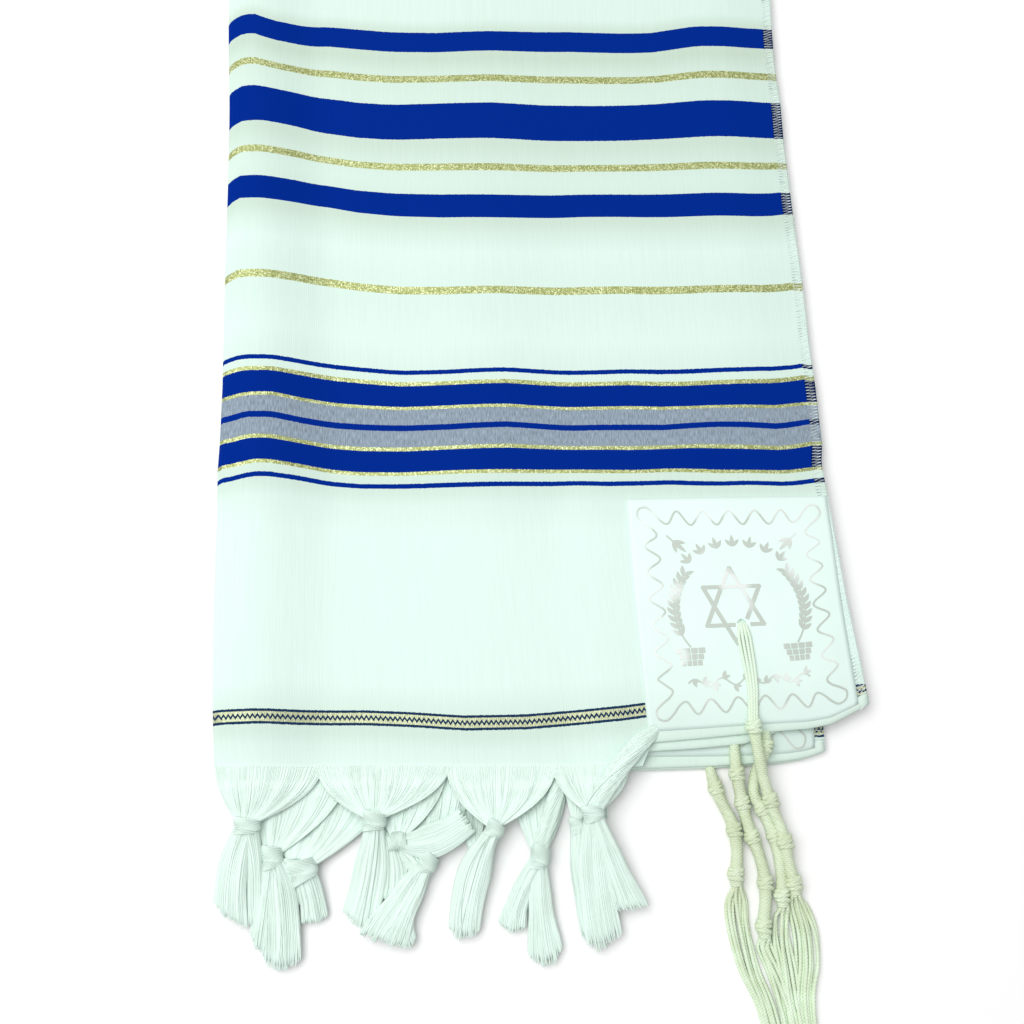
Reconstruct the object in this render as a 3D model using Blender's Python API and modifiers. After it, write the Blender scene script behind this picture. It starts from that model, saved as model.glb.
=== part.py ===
"""Tallit prayer shawl, folded in half lengthwise and then end to end, lying on a flat surface.

One woven rectangle makes four layers, counted from the top. Layers 1 and 2 are the near end,
layers 3 and 4 the far end, so that all four corners lie together at the near right.
Measures are millimetres in the cloth's own plan: x runs from the lengthwise fold to the open
edge, y from the near fringe line to the crosswise fold, z up from the surface. The part's
origin is the middle of the folded cloth's underside, and place() turns a measure into metres.
"""
from math import cos, exp, hypot, pi, radians, sin

import bmesh
import bpy
from mathutils import Vector

# ---- driving dimensions, mm
FOLDED_WIDTH = 280.0          # half of the 560 mm loom width
FOLDED_LENGTH = 850.0         # half of the 1700 mm between the fringe lines
WALL = 1.0                    # cloth wall
SEAM_GAP = 0.3                # between pieces that lie on each other
LAYER_STEP = WALL + 0.4       # from one layer's middle to the next at the open edges
CORE_SWELL = 0.6              # the core covers the walls' ends at the crosswise fold
CROSS_FOLD_LENGTH = 18.0      # rounded stretch at the crosswise fold
CROSS_FOLD_TURNS = 5          # facets from its start to its far end
CROSS_FOLD_SWEEP = 84.0       # degrees that they turn through
CROSS_FOLD_FULLNESS = 0.8     # 1 would round it as an ellipse
PATCH_LIFT = WALL + SEAM_GAP  # room that a patch takes between two layers
EYELET = (229.6, 55.0, 8.2)   # middle of the top patch's eyelet
EYELET_RADIUS = 2.6
EYELET_DEPTH = 4.2

# ---- where the columns and rows of the cloth's points run
COLUMNS = (3.5, 8, 14, 21, 30, 41, 55, 74, 95, 116, 137, 158, 180, 187, 208, 230, 250, 268, 274,
           280)
ROWS = (0, 4.5, 11, 19, 32, 48, 64, 80, 96, 112.5, 132, 155, 185, 220, 260, 305, 350, 400, 455,
        515, 580, 645, 710, 770, 815, 832)
EDGE_REACH = 96.0             # the near edge's slant fades out over this length
FOLD_TURNS = 6                # facets round a lengthwise fold
CORE_FIRST_ROW = 3            # the layers stand apart in front of it
CORE_COLUMNS = 18             # and to the right of the columns before this one
PATCH_COLUMNS = (13, 18)      # first and last column under a corner patch
PATCH_ROWS = (1, 9)           # first and last row under a corner patch
PATCH_MARGIN_ROWS = (1, 3)    # rows of a patch that show between two layers

# near edge of each layer: x, then y of layers 1 to 4. The corners right of 183 are hemmed
NEAR_EDGE = (
    (0, 4.8, 4.8, 3.5, 3.5),
    (44, 2.5, 3.4, 1.8, 1.2),
    (99, -0.4, 0.8, -1.0, -1.8),
    (144, -2.8, -1.2, -3.0, -3.8),
    (180, -4.6, -2.8, -5.2, -5.8),
    (187, 5.9, 2.3, -5.6, -6.4),
    (208, 6.6, 2.5, -6.3, -7.2),
    (230, 7.6, 3.4, -6.2, -7.2),
    (252, 9.0, 9.8, -5.9, -6.8),
    (280, 16.6, 18.0, -1.3, -2.4),
)
# open right edge of each layer: y, then x of layers 1 to 4
RIGHT_EDGE = (
    (0, 281.5, 275.0, 260.5, 258.5),
    (17, 281.0, 274.5, 261.2, 259.0),
    (63, 276.9, 273.0, 262.5, 261.0),
    (117, 274.2, 271.5, 264.5, 262.5),
    (176, 273.4, 271.0, 267.5, 265.5),
    (382, 281.2, 279.0, 276.5, 275.0),
    (850, 281.0, 279.5, 279.5, 281.0),
)
# soft roll along the lengthwise fold: y, crest x, crest height, width down to the flat
ROLL = (
    (0, 15, 5.6, 36),
    (130, 17, 7.6, 38),
    (190, 17, 8.4, 38),
    (300, 14, 7.6, 36),
    (400, 13, 6.4, 34),
    (650, 15, 5.2, 38),
    (850, 15, 3.8, 34),
)
# soft mounds and troughs of the top layer: x, y, half width, half length, height
CREASES = (
    (76, 160, 28, 150, -1.2),
    (121, 160, 20, 80, 0.9),
    (160, 180, 24, 130, -1.0),
    (214, 150, 20, 34, 0.8),
    (242, 172, 18, 40, 1.0),
    (186, 335, 36, 130, -1.0),
    (262, 380, 28, 130, 1.4),
    (118, 345, 30, 120, 0.5),
    (92, 545, 36, 140, -1.1),
    (206, 590, 32, 150, 1.3),
    (146, 715, 38, 110, -1.0),
    (240, 745, 28, 110, -0.9),
)
CREASE_FLOOR = 1.5            # mean height of the top layer over the pressed stack

# knotted tassels: the layer they hang from, the left and right ends of the fan on its edge, the
# knot, the end of the tail, and the locks in fan and tail. The last six lie under the others
TASSELS = (
    # name, layer, left, right, knot x, y, z, radius, tail x, y, z, width, fan locks, tail locks
    ("tassel_01", 1, 4, 44, 16.2, -18.9, 8.6, 3.8, 6.5, -57.0, 4.6, 13, 5, 8),
    ("tassel_02", 2, 32, 50, 24.6, -32.2, 4.6, 3.8, 28.6, -72.5, 2.2, 16, 5, 8),
    ("tassel_03", 3, 52, 69, 37.1, -38.0, 4.4, 3.8, 43.6, -58.9, 2.2, 9, 5, 8),
    ("tassel_04", 1, 44, 99, 67.2, -20.0, 8.4, 3.8, 59.0, -62.0, 4.6, 13, 5, 8),
    ("tassel_05", 2, 74, 99, 76.6, -28.6, 6.3, 3.4, 104.8, -21.4, 6.0, 8, 5, 8),
    ("tassel_06", 3, 84, 108, 88.8, -38.6, 3.9, 3.4, 77.6, -69.4, 2.2, 14, 5, 8),
    ("tassel_07", 1, 99, 144, 117.6, -26.3, 8.2, 3.6, 102.4, -67.6, 3.6, 10, 5, 8),
    ("tassel_08", 3, 130, 150, 135.7, -38.8, 4.4, 3.8, 132.6, -76.0, 2.2, 19, 5, 8),
    ("tassel_09", 1, 144, 179, 160.2, -21.2, 9.4, 4.0, 174.5, -58.4, 4.8, 13, 5, 8),
    ("tassel_10", 2, 146, 158, 151.2, -28.0, 4.5, 3.8, 158.2, -73.0, 2.2, 14, 5, 8),
    ("tassel_11", 4, 4, 26, 11.8, -33.0, 2.8, 2.3, 9.0, -48.0, 2.1, 7, 3, 4),
    ("tassel_12", 4, 52, 72, 62.5, -34.0, 2.8, 2.3, 60.5, -50.0, 2.1, 7, 3, 4),
    ("tassel_13", 4, 96, 116, 112.6, -38.0, 2.8, 2.3, 108.6, -52.0, 2.1, 6, 3, 4),
    ("tassel_14", 2, 108, 126, 124.0, -14.0, 3.2, 2.3, 119.6, -31.0, 2.2, 6, 3, 4),
    ("tassel_15", 3, 158, 166, 163.4, -11.0, 2.9, 2.3, 162.8, -25.0, 2.1, 5, 3, 4),
    ("tassel_16", 4, 168, 182, 167.2, -34.0, 2.8, 2.3, 170.4, -48.0, 2.1, 7, 3, 4),
)

FAN_GAP = 0.6                 # between two locks of a fan at the cloth's edge
FAN_END_GAP = 0.3             # and at the knot
FAN_END_SHARE = 0.62          # of the knot's width, taken by the fan where it enters
FAN_THICKNESS = (0.8, 1.4)    # of a fan's lock at the cloth's edge and at the knot
TAIL_GAP = 0.4                # between two locks of a tail
TAIL_START_SHARE = 0.7        # of the knot's width, taken by the tail where it leaves
TAIL_TRIM = 1.5               # the cut ends are uneven by this much
TAIL_THICKNESS = 1.3          # of a tail's lock
TAIL_ROW = 0.85               # a tail's two rows lie this far over and under its middle

# tzitzit: x, y, z and radius along the wound stem, knots being its thick places
TZITZIT = {
    "tzitzit_1": (
        (229.6, 55.0, 8.2, 1.3), (229.6, 53.6, 10.8, 1.4), (229.6, 48.0, 11.4, 1.5),
        (229.6, 22.0, 11.4, 1.5), (230.0, 14.0, 11.9, 2.0), (230.4, 8.6, 12.8, 2.9),
        (231.2, 4.2, 11.8, 2.3), (231.8, -2.0, 10.6, 2.3), (232.4, -10.0, 9.8, 2.3),
        (234.6, -16.0, 8.2, 2.4), (236.6, -20.5, 6.8, 3.0), (237.4, -25.0, 5.8, 2.3),
        (238.4, -31.5, 5.4, 2.3), (240.2, -38.3, 5.8, 3.0), (241.2, -43.0, 5.0, 2.3),
        (241.6, -49.5, 4.2, 2.3), (241.8, -54.3, 3.6, 3.0), (242.0, -59.0, 2.6, 2.2),
    ),
    "tzitzit_2": (
        (221.6, 0.4, 7.9, 2.2), (221.4, -4.0, 8.0, 2.3), (221.6, -10.0, 6.4, 2.9),
        (222.8, -16.5, 4.4, 2.3), (223.9, -21.8, 3.6, 2.8), (224.6, -28.2, 3.0, 2.3),
        (225.6, -35.2, 3.4, 2.9), (227.0, -41.3, 3.0, 2.3), (228.2, -48.0, 3.0, 2.3),
        (228.4, -53.6, 3.4, 2.9), (227.8, -61.0, 3.0, 2.3), (225.8, -70.2, 3.4, 2.9),
        (226.2, -74.8, 2.6, 2.2),
    ),
    "tzitzit_3": (
        (211.9, -8.3, 2.9, 2.2), (212.6, -13.7, 3.4, 2.9), (214.6, -20.0, 2.9, 2.3),
        (217.2, -26.2, 2.9, 2.3), (218.1, -32.0, 3.4, 2.9), (218.3, -40.8, 2.9, 2.3),
        (216.6, -49.5, 3.4, 3.0), (216.8, -54.2, 2.6, 2.2),
    ),
    "tzitzit_4": (
        (238.6, 5.4, 8.0, 2.2), (238.2, -1.0, 7.8, 2.3), (236.4, -8.0, 5.6, 2.3),
        (232.8, -15.0, 3.6, 2.3), (231.2, -21.0, 3.4, 2.8), (231.9, -27.0, 2.9, 2.3),
        (233.4, -33.5, 3.2, 2.7), (234.6, -39.5, 2.9, 2.3), (235.0, -46.0, 2.9, 2.3),
        (235.0, -52.5, 3.0, 2.3), (234.8, -58.7, 3.4, 2.9), (235.2, -63.4, 2.6, 2.2),
    ),
}
# where each tzitzit's free strands run: x, y of the middle of the bundle, half way and at the end
STRAND_ENDS = {
    "tzitzit_1": (243.4, -108.0, 252.0, -203.0),
    "tzitzit_2": (230.0, -108.0, 235.4, -212.0),
    "tzitzit_3": (223.2, -108.0, 227.4, -196.0),
    "tzitzit_4": (236.7, -108.0, 243.4, -206.0),
}
STRAND_RADIUS = 0.6
STRAND_PITCH = 1.6
STRANDS_ACROSS = 4
STRAND_ROWS = (1.05, 2.6)     # heights of the two rows of strands
STRAND_ROOT = (0.35, 0.23)    # inside the last knot, the first strand's and each next one's step
STRAND_STATIONS = (0.0, 0.12, 0.35, 0.6, 0.8, 1.0)
STRAND_SPREAD_END = 0.3       # the strands lie side by side from this share of their length
STRAND_SWAY = 0.6

LOOKS = {                     # colour, roughness
    "woven cloth": ((0.80, 0.93, 0.87), 0.80),
    "satin patch": ((0.83, 0.95, 0.90), 0.45),
    "fringe yarn": ((0.84, 0.95, 0.90), 0.70),
    "ivory cord": ((0.78, 0.83, 0.62), 0.70),
}


# ---- small tools
def place(x, y, z):
    """A measure of the cloth's plan as a point of the part, in metres."""
    return Vector((x - FOLDED_WIDTH / 2, y - FOLDED_LENGTH / 2, z)) * 0.001


def along(table, at, column):
    """The table's column, read in straight runs at a value of its first column."""
    if at <= table[0][0]:
        return table[0][column]
    for row, following in zip(table, table[1:]):
        if at <= following[0]:
            share = (at - row[0]) / (following[0] - row[0])
            return row[column] + share * (following[column] - row[column])
    return table[-1][column]


def ease(value):
    """A smooth step from 0 to 1."""
    value = min(max(value, 0.0), 1.0)
    return value * value * (3 - 2 * value)


def mix(first, second, share):
    return first + share * (second - first)


def make_collection(name):
    collection = bpy.data.collections.new(name)
    bpy.context.scene.collection.children.link(collection)
    return collection


def make_material(name):
    colour, roughness = LOOKS[name]
    material = bpy.data.materials.new(name)
    material.use_nodes = True
    shader = material.node_tree.nodes["Principled BSDF"]
    shader.inputs["Base Color"].default_value = (*colour, 1.0)
    shader.inputs["Roughness"].default_value = roughness
    shader.inputs["Metallic"].default_value = 0.0
    material.diffuse_color = (*colour, 1.0)
    return material


def new_object(name, points, faces, collection, material=None):
    mesh = bpy.data.meshes.new(name)
    mesh.from_pydata(points, [], faces)
    mesh.update()
    obj = bpy.data.objects.new(name, mesh)
    collection.objects.link(obj)
    if material:
        mesh.materials.append(material)
    return obj


def grid_object(name, rows, collection, material):
    """A sheet through rows of points, its first row nearest and its first column leftmost."""
    across = len(rows[0])
    points = [point for row in rows for point in row]
    faces = []
    for j in range(len(rows) - 1):
        for i in range(across - 1):
            first = j * across + i
            faces.append((first, first + 1, first + across + 1, first + across))
    return new_object(name, points, faces, collection, material)


def loft_object(name, sections, collection, material=None, caps=None):
    """A closed solid through sections of equal point count, capped at both ends."""
    sides = len(sections[0])
    points = [point for section in sections for point in section]
    last = (len(sections) - 1) * sides
    caps = caps or [range(sides)]
    faces = [tuple(reversed(cap)) for cap in caps]
    faces += [tuple(corner + last for corner in cap) for cap in caps]
    for j in range(len(sections) - 1):
        for i in range(sides):
            first, following = j * sides + i, j * sides + (i + 1) % sides
            faces.append((first, following, following + sides, first + sides))
    obj = new_object(name, points, faces, collection, material)
    shape = bmesh.new()
    shape.from_mesh(obj.data)
    bmesh.ops.recalc_face_normals(shape, faces=shape.faces)
    shape.to_mesh(obj.data)
    shape.free()
    return obj


def thicken(obj):
    """Give a sheet the cloth's wall, half to each side."""
    wall = obj.modifiers.new("wall", "SOLIDIFY")
    wall.thickness = WALL * 0.001
    wall.offset = 0.0


def apply_modifiers(obj):
    evaluated = obj.evaluated_get(bpy.context.evaluated_depsgraph_get())
    mesh = bpy.data.meshes.new_from_object(evaluated)
    obj.modifiers.clear()
    obj.data = mesh


def fuse(obj, others):
    """Join other solids to one by Boolean unions."""
    for other in others:
        union = obj.modifiers.new("union", "BOOLEAN")
        union.operation = "UNION"
        union.solver = "EXACT"
        union.object = other
        bpy.context.view_layer.update()
        apply_modifiers(obj)
        bpy.data.objects.remove(other)


# ---- the folded cloth's form
def near_edge(layer, x):
    return along(NEAR_EDGE, x, layer)


def right_edge(layer, y):
    return along(RIGHT_EDGE, y, layer)


def roll(x, y):
    """Height of the soft roll over the lengthwise fold."""
    crest, height, width = (along(ROLL, y, column) for column in (1, 2, 3))
    if x < crest:
        return height * (1 - 0.3 * ((crest - x) / crest) ** 2)
    return height * ease(1 - (x - crest) / width)


def patch_zone(x, y):
    """1 over the corner patches, falling to 0 around them."""
    return ease((x - 148) / 22) * ease((138 - y) / 24)


def creases(x, y):
    """Height of the top layer's soft mounds and troughs, levelled out towards the open edges."""
    height = CREASE_FLOOR
    for mid_x, mid_y, half_width, half_length, top in CREASES:
        height += top * exp(-((x - mid_x) / half_width) ** 2 - ((y - mid_y) / half_length) ** 2)
    inward = ease((FOLDED_WIDTH - x) / 30) * ease((y - 2) / 30) * ease((FOLDED_LENGTH - y) / 60)
    return max(height, 0.3) * (0.25 + 0.75 * inward) * (1 - 0.8 * patch_zone(x, y))


def layer_height(layer, x, y):
    """Height of the middle of a layer's wall."""
    lift = PATCH_LIFT * patch_zone(x, y)
    height = WALL / 2 + lift
    if layer <= 3:
        height += LAYER_STEP + 0.42 * roll(x, y)
    if layer <= 2:
        height += LAYER_STEP + lift
    if layer == 1:
        height += LAYER_STEP + 0.58 * roll(x, y) + creases(x, y)
    return height


def layer_point(layer, column, row, raised=0.0):
    """A point of a layer's middle: column counts from the fold, row from the near edge."""
    fading = max(0.0, 1 - ROWS[row] / EDGE_REACH)
    y = ROWS[row] + near_edge(layer, COLUMNS[column]) * fading
    x = COLUMNS[column] / FOLDED_WIDTH * right_edge(layer, y)
    return x, y, layer_height(layer, x, y) + raised


def front_edge(layer, x):
    """Where a layer's near edge runs at a plan x."""
    edge = [layer_point(layer, column, 0)[:2] for column in range(len(COLUMNS))]
    return along(edge, x, 1)


def fold_points(upper, row, swell=0.0):
    """Points round the lengthwise fold, from the upper layer down to the layer under it."""
    x, y, top = layer_point(upper, 0, row)
    bottom = layer_point(upper + 1, 0, row)[2]
    middle, half = (top + bottom) / 2, (top - bottom) / 2
    points = []
    for step in range(1, FOLD_TURNS):
        angle = pi * step / FOLD_TURNS
        reach = (x + swell) * sin(angle)
        points.append((x - reach, y, middle + (half + swell) * cos(angle)))
    return points


def folded_pair(name, upper, collection, material):
    """Two layers joined by the lengthwise fold, as one sheet from open edge to open edge."""
    rows = []
    for row in range(len(ROWS)):
        across = [layer_point(upper, column, row) for column in reversed(range(len(COLUMNS)))]
        across += fold_points(upper, row)
        across += [layer_point(upper + 1, column, row) for column in range(len(COLUMNS))]
        rows.append([place(*point) for point in across])
    sheet = grid_object(name, rows, collection, material)
    thicken(sheet)
    apply_modifiers(sheet)
    return sheet


def core_section(row, swell=0.0, forward=0.0, squash=1.0):
    """Outline of the pressed stack inside the walls, as a ring across the cloth."""
    ring = []
    for layer in (1, 2, 3, 4):
        columns = list(range(CORE_COLUMNS if layer in (1, 4) else 2))
        if swell and layer in (1, 4):
            columns[-1] = len(COLUMNS) - 1
        if layer in (1, 3):
            columns.reverse()
        grow = {1: swell, 2: -swell, 3: swell, 4: -0.75 * swell}[layer]
        for column in columns:
            x, y, z = layer_point(layer, column, row)
            if column == len(COLUMNS) - 1:
                x += 0.2
            ring.append((x, y, z + grow))
        if layer in (1, 3):
            ring += fold_points(layer, row, swell)
    middle = max(point[2] for point in ring) / 2
    return [place(x, y + forward, middle + (z - middle) * squash) for x, y, z in ring]


def core_caps(sides):
    """End faces of the core as strips from its top row of points down to its bottom row."""
    columns = CORE_COLUMNS
    top = list(reversed(range(columns)))
    upper_fold = list(range(columns, columns + FOLD_TURNS - 1))
    second = [upper_fold[-1] + 1, upper_fold[-1] + 2]
    third = [second[1] + 1, second[1] + 2]
    lower_fold = list(range(third[1] + 1, third[1] + FOLD_TURNS))
    bottom = list(range(lower_fold[-1] + 1, sides))
    faces = [
        [top[1], top[0], *upper_fold, *second],
        [*third, *lower_fold, bottom[0], bottom[1]],
        [top[2], top[1], second[1], third[0], bottom[1], bottom[2]],
    ]
    for column in range(2, columns - 1):
        faces.append([top[column + 1], top[column], bottom[column], bottom[column + 1]])
    return faces


def pressed_core(collection):
    """The hidden layers as one rounded solid, closed by the crosswise fold."""
    last = len(ROWS) - 1
    sections = [core_section(row) for row in range(CORE_FIRST_ROW, last - 1)]
    sections += [core_section(row, CORE_SWELL) for row in (last - 1, last)]
    for step in range(1, CROSS_FOLD_TURNS + 1):
        angle = radians(CROSS_FOLD_SWEEP) * step / CROSS_FOLD_TURNS
        forward = CROSS_FOLD_LENGTH * sin(angle)
        squash = cos(angle) ** CROSS_FOLD_FULLNESS
        sections.append(core_section(last, CORE_SWELL, forward, squash))
    return loft_object("pressed core", sections, collection, None, core_caps(len(sections[0])))


def build_cloth(collection, material):
    """The folded cloth: its four walls fused to the core, which swallows their hidden middle."""
    cloth = folded_pair("shawl_cloth", 1, collection, material)
    lower = folded_pair("lower pair", 3, collection, None)
    fuse(cloth, [lower, pressed_core(collection)])
    return cloth


# ---- corner patches
def patch_panel(name, layer, rows, raised, collection, material):
    """A patch through its layer's own points, moved out by the seam gap."""
    points = []
    for row in range(rows[0], rows[1] + 1):
        columns = range(PATCH_COLUMNS[0], PATCH_COLUMNS[1] + 1)
        points.append([place(*layer_point(layer, column, row, raised)) for column in columns])
    panel = grid_object(name, points, collection, material)
    thicken(panel)
    return panel


def eyelet_cutter(collection):
    """A drill through the top patch and into the top layer, where its tzitzit passes."""
    radius = EYELET_RADIUS * 0.001
    shape = bmesh.new()
    bmesh.ops.create_cone(
        shape, cap_ends=True, segments=14, radius1=radius, radius2=radius,
        depth=EYELET_DEPTH * 0.001,
    )
    mesh = bpy.data.meshes.new("eyelet drill")
    shape.to_mesh(mesh)
    shape.free()
    drill = bpy.data.objects.new("eyelet drill", mesh)
    drill.location = place(*EYELET)
    drill.hide_render = True
    drill.display_type = "WIRE"
    collection.objects.link(drill)
    return drill


def cut(obj, cutter):
    hole = obj.modifiers.new("eyelet", "BOOLEAN")
    hole.operation = "DIFFERENCE"
    hole.solver = "EXACT"
    hole.object = cutter


# ---- knotted tassels
def fan_lock(layer, left, right, knot, reach, count, index, collection):
    """A flat lock of warp ends, from its stretch of the cloth's edge into the knot."""
    span = (right - left) / count
    edges = (left + span * index + FAN_GAP / 2, left + span * (index + 1) - FAN_GAP / 2)
    spread = 2 * reach * FAN_END_SHARE / count
    knot_left = knot[0] + spread * (index - count / 2) + FAN_END_GAP / 2
    knot_right = knot_left + spread - FAN_END_GAP
    sections = []
    for share in (0.0, 0.35, 0.75, 1.0):
        thick = mix(*FAN_THICKNESS, share) / 2
        corners = []
        for edge, target in zip(edges, (knot_left, knot_right)):
            start = front_edge(layer, edge) - SEAM_GAP
            x = mix(edge, target, share ** 0.85)
            y = mix(start, knot[1] + 1.0, share)
            z = mix(layer_height(layer, edge, start), knot[2], ease(share))
            corners.append((x, y, z))
        (x0, y0, z0), (x1, y1, z1) = corners
        sections.append([
            place(x0, y0, z0 - thick), place(x1, y1, z1 - thick),
            place(x1, y1, z1 + thick), place(x0, y0, z0 + thick),
        ])
    return loft_object("fan lock", sections, collection)


def tail_lock(knot, end, width, reach, count, index, collection):
    """A lock of the tail, running out of the knot in one of two rows."""
    per_row = count // 2
    upper = index >= per_row
    offset = index % per_row - (per_row - 1) / 2
    run = Vector((end[0] - knot[0], end[1] - knot[1]))
    ahead = run.normalized()
    side = Vector((-ahead.y, ahead.x))
    trim = TAIL_TRIM * sin(2.4 * index + end[0])
    sections = []
    for share in (0.0, 0.3, 0.65, 1.0):
        pitch = mix(2 * reach * TAIL_START_SHARE, width, ease(share * 1.15)) / per_row
        mid = Vector(knot[:2]) + ahead * (share * (run.length + trim * share))
        z = mix(knot[2], end[2], share) + (TAIL_ROW if upper else -TAIL_ROW)
        middle = mid + side * offset * pitch
        half = side * (pitch - TAIL_GAP) / 2
        low, high = z - TAIL_THICKNESS / 2, z + TAIL_THICKNESS / 2
        sections.append([
            place(*(middle - half), low), place(*(middle + half), low),
            place(*(middle + half), high), place(*(middle - half), high),
        ])
    return loft_object("tail lock", sections, collection)


def build_tassel(row, collection, material):
    """A knot with the fan that runs into it and the tail that hangs out of it."""
    name, layer, left, right, *knot_and_tail, width, fan_locks, tail_locks = row
    knot, radius, end = knot_and_tail[:3], knot_and_tail[3], knot_and_tail[4:]
    shape = bmesh.new()
    bmesh.ops.create_uvsphere(shape, u_segments=9, v_segments=6, radius=radius * 0.001)
    bmesh.ops.translate(shape, verts=shape.verts, vec=place(*knot))
    mesh = bpy.data.meshes.new(name)
    shape.to_mesh(mesh)
    shape.free()
    mesh.materials.append(material)
    tassel = bpy.data.objects.new(name, mesh)
    collection.objects.link(tassel)
    locks = [
        fan_lock(layer, left, right, knot, radius, fan_locks, index, collection)
        for index in range(fan_locks)
    ]
    locks += [
        tail_lock(knot, end, width, radius, tail_locks, index, collection)
        for index in range(tail_locks)
    ]
    fuse(tassel, locks)


# ---- tzitzit
def tube(name, path, collection, sides):
    """A closed tube through x, y, z and radius rows."""
    curve = bpy.data.curves.new("guide", "CURVE")
    curve.dimensions = "3D"
    curve.bevel_depth = 0.001
    curve.bevel_resolution = (sides - 4) // 2
    curve.use_fill_caps = True
    spline = curve.splines.new("POLY")
    spline.points.add(len(path) - 1)
    for point, (x, y, z, radius) in zip(spline.points, path):
        point.co = (*place(x, y, z), 1.0)
        point.radius = radius
    guide = bpy.data.objects.new("guide", curve)
    collection.objects.link(guide)
    evaluated = guide.evaluated_get(bpy.context.evaluated_depsgraph_get())
    mesh = bpy.data.meshes.new_from_object(evaluated)
    shape = bmesh.new()
    shape.from_mesh(mesh)
    bmesh.ops.remove_doubles(shape, verts=shape.verts, dist=0.00001)
    bmesh.ops.recalc_face_normals(shape, faces=shape.faces)
    shape.to_mesh(mesh)
    shape.free()
    solid = bpy.data.objects.new(name, mesh)
    solid.matrix_world = guide.matrix_world
    collection.objects.link(solid)
    bpy.data.objects.remove(guide)
    return solid


def rounded_path(path):
    """The stem's rows with one more point in each long run, eased in radius."""
    rows = [path[0]]
    for first, second in zip(path, path[1:]):
        if hypot(second[0] - first[0], second[1] - first[1]) > 6.5:
            middle = [mix(a, b, 0.5) for a, b in zip(first, second)]
            middle[3] = min(first[3], second[3])
            rows.append(tuple(middle))
        rows.append(second)
    return rows


def strand_path(name, index, start):
    """A free strand, from inside the last knot to its cut end."""
    mid_x, mid_y, end_x, end_y = STRAND_ENDS[name]
    offset = (index % STRANDS_ACROSS - (STRANDS_ACROSS - 1) / 2) * STRAND_PITCH
    height = STRAND_ROWS[index // STRANDS_ACROSS] + 0.07 * (index % STRANDS_ACROSS)
    end_y += 5 * sin(3.1 * index + end_x)
    root_y = start[1] + STRAND_ROOT[0] + STRAND_ROOT[1] * index
    stops = ((start[0], root_y), (mid_x, mid_y), (end_x, end_y))
    rows = []
    for share in STRAND_STATIONS:
        leg = int(share > 0.5)
        x, y = (mix(*ends, 2 * share - leg) for ends in zip(stops[leg], stops[leg + 1]))
        spread = ease(share / STRAND_SPREAD_END)
        sway = STRAND_SWAY * sin(pi * share * 2.3 + end_x) * ease(share / 0.4)
        z = mix(mix(start[2], height, 0.6), height, spread)
        rows.append((x + offset * mix(0.55, 1.0, spread) + sway, y, z, STRAND_RADIUS))
    return rows


def build_tzitzit(name, collection, material):
    """A wound and knotted stem with its free strands."""
    path = TZITZIT[name]
    stem = tube(name, rounded_path(path), collection, 6)
    stem.data.materials.append(material)
    strands = [
        tube("strand", strand_path(name, index, path[-2]), collection, 4)
        for index in range(2 * STRANDS_ACROSS)
    ]
    fuse(stem, strands)


def main():
    for obj in list(bpy.data.objects):
        bpy.data.objects.remove(obj)
    shawl = make_collection("tallit prayer shawl")
    cutters = make_collection("cutters")
    materials = {name: make_material(name) for name in LOOKS}

    cloth = build_cloth(shawl, materials["woven cloth"])
    drill = eyelet_cutter(cutters)
    cut(cloth, drill)

    satin = materials["satin patch"]
    over, under = WALL + SEAM_GAP, -(WALL + SEAM_GAP)
    cut(patch_panel("corner_patch_1", 1, PATCH_ROWS, over, shawl, satin), drill)
    patch_panel("corner_patch_3", 3, PATCH_MARGIN_ROWS, over, shawl, satin)
    patch_panel("corner_patch_4", 4, PATCH_ROWS, under, shawl, satin)

    for row in TASSELS:
        build_tassel(row, shawl, materials["fringe yarn"])
    for name in TZITZIT:
        build_tzitzit(name, shawl, materials["ivory cord"])


main()
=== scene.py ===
from bisect import bisect_right
from math import cos, exp, hypot, pi, radians, sin
from random import Random

import bpy
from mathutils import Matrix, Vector


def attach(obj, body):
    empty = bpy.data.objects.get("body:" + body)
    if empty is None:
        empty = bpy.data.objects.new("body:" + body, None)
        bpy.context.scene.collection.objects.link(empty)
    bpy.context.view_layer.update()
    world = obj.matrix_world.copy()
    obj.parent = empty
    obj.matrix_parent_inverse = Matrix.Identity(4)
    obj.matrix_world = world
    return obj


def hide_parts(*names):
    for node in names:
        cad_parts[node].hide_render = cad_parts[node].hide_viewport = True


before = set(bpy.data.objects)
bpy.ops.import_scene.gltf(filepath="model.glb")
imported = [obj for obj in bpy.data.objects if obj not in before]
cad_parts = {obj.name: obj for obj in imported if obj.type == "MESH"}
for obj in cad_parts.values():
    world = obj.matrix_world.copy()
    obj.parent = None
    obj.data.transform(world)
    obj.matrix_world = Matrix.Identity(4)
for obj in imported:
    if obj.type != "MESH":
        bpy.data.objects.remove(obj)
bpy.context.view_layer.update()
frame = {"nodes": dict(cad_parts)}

# ---- The shawl cloth: one woven rectangle of fine wool and rayon, 560 by 1700 mm between its
# fringe lines, folded in half lengthwise and then end to end. It lies in four layers, counted
# from the top, with all its corners at the near right. Measures are mm in the folded plan.
FOLDED_WIDTH = 280.0
FOLDED_LENGTH = 850.0
CLOTH_THICKNESS = 0.7
LAYER_STEP = 1.4
PATCH_LIFT = 1.3              # room for the patches between two layers
PATCH_ZONE = ((148, 22), (138, 24))   # where they part, in x and in y, and over what length
LOWEST_MIDDLE = 0.5           # height of the lowest layer's middle
EDGE_REACH = 96.0             # the near edge's slant fades out over this length
FOLD_START = 3.5              # the lengthwise fold turns from here
FOLD_TURNS = 6
FOLD_REACH = 60.0             # the fold's wander fades out over this length
CROSS_FOLD_START = 832.0
CROSS_FOLD_TURNS = 8
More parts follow.
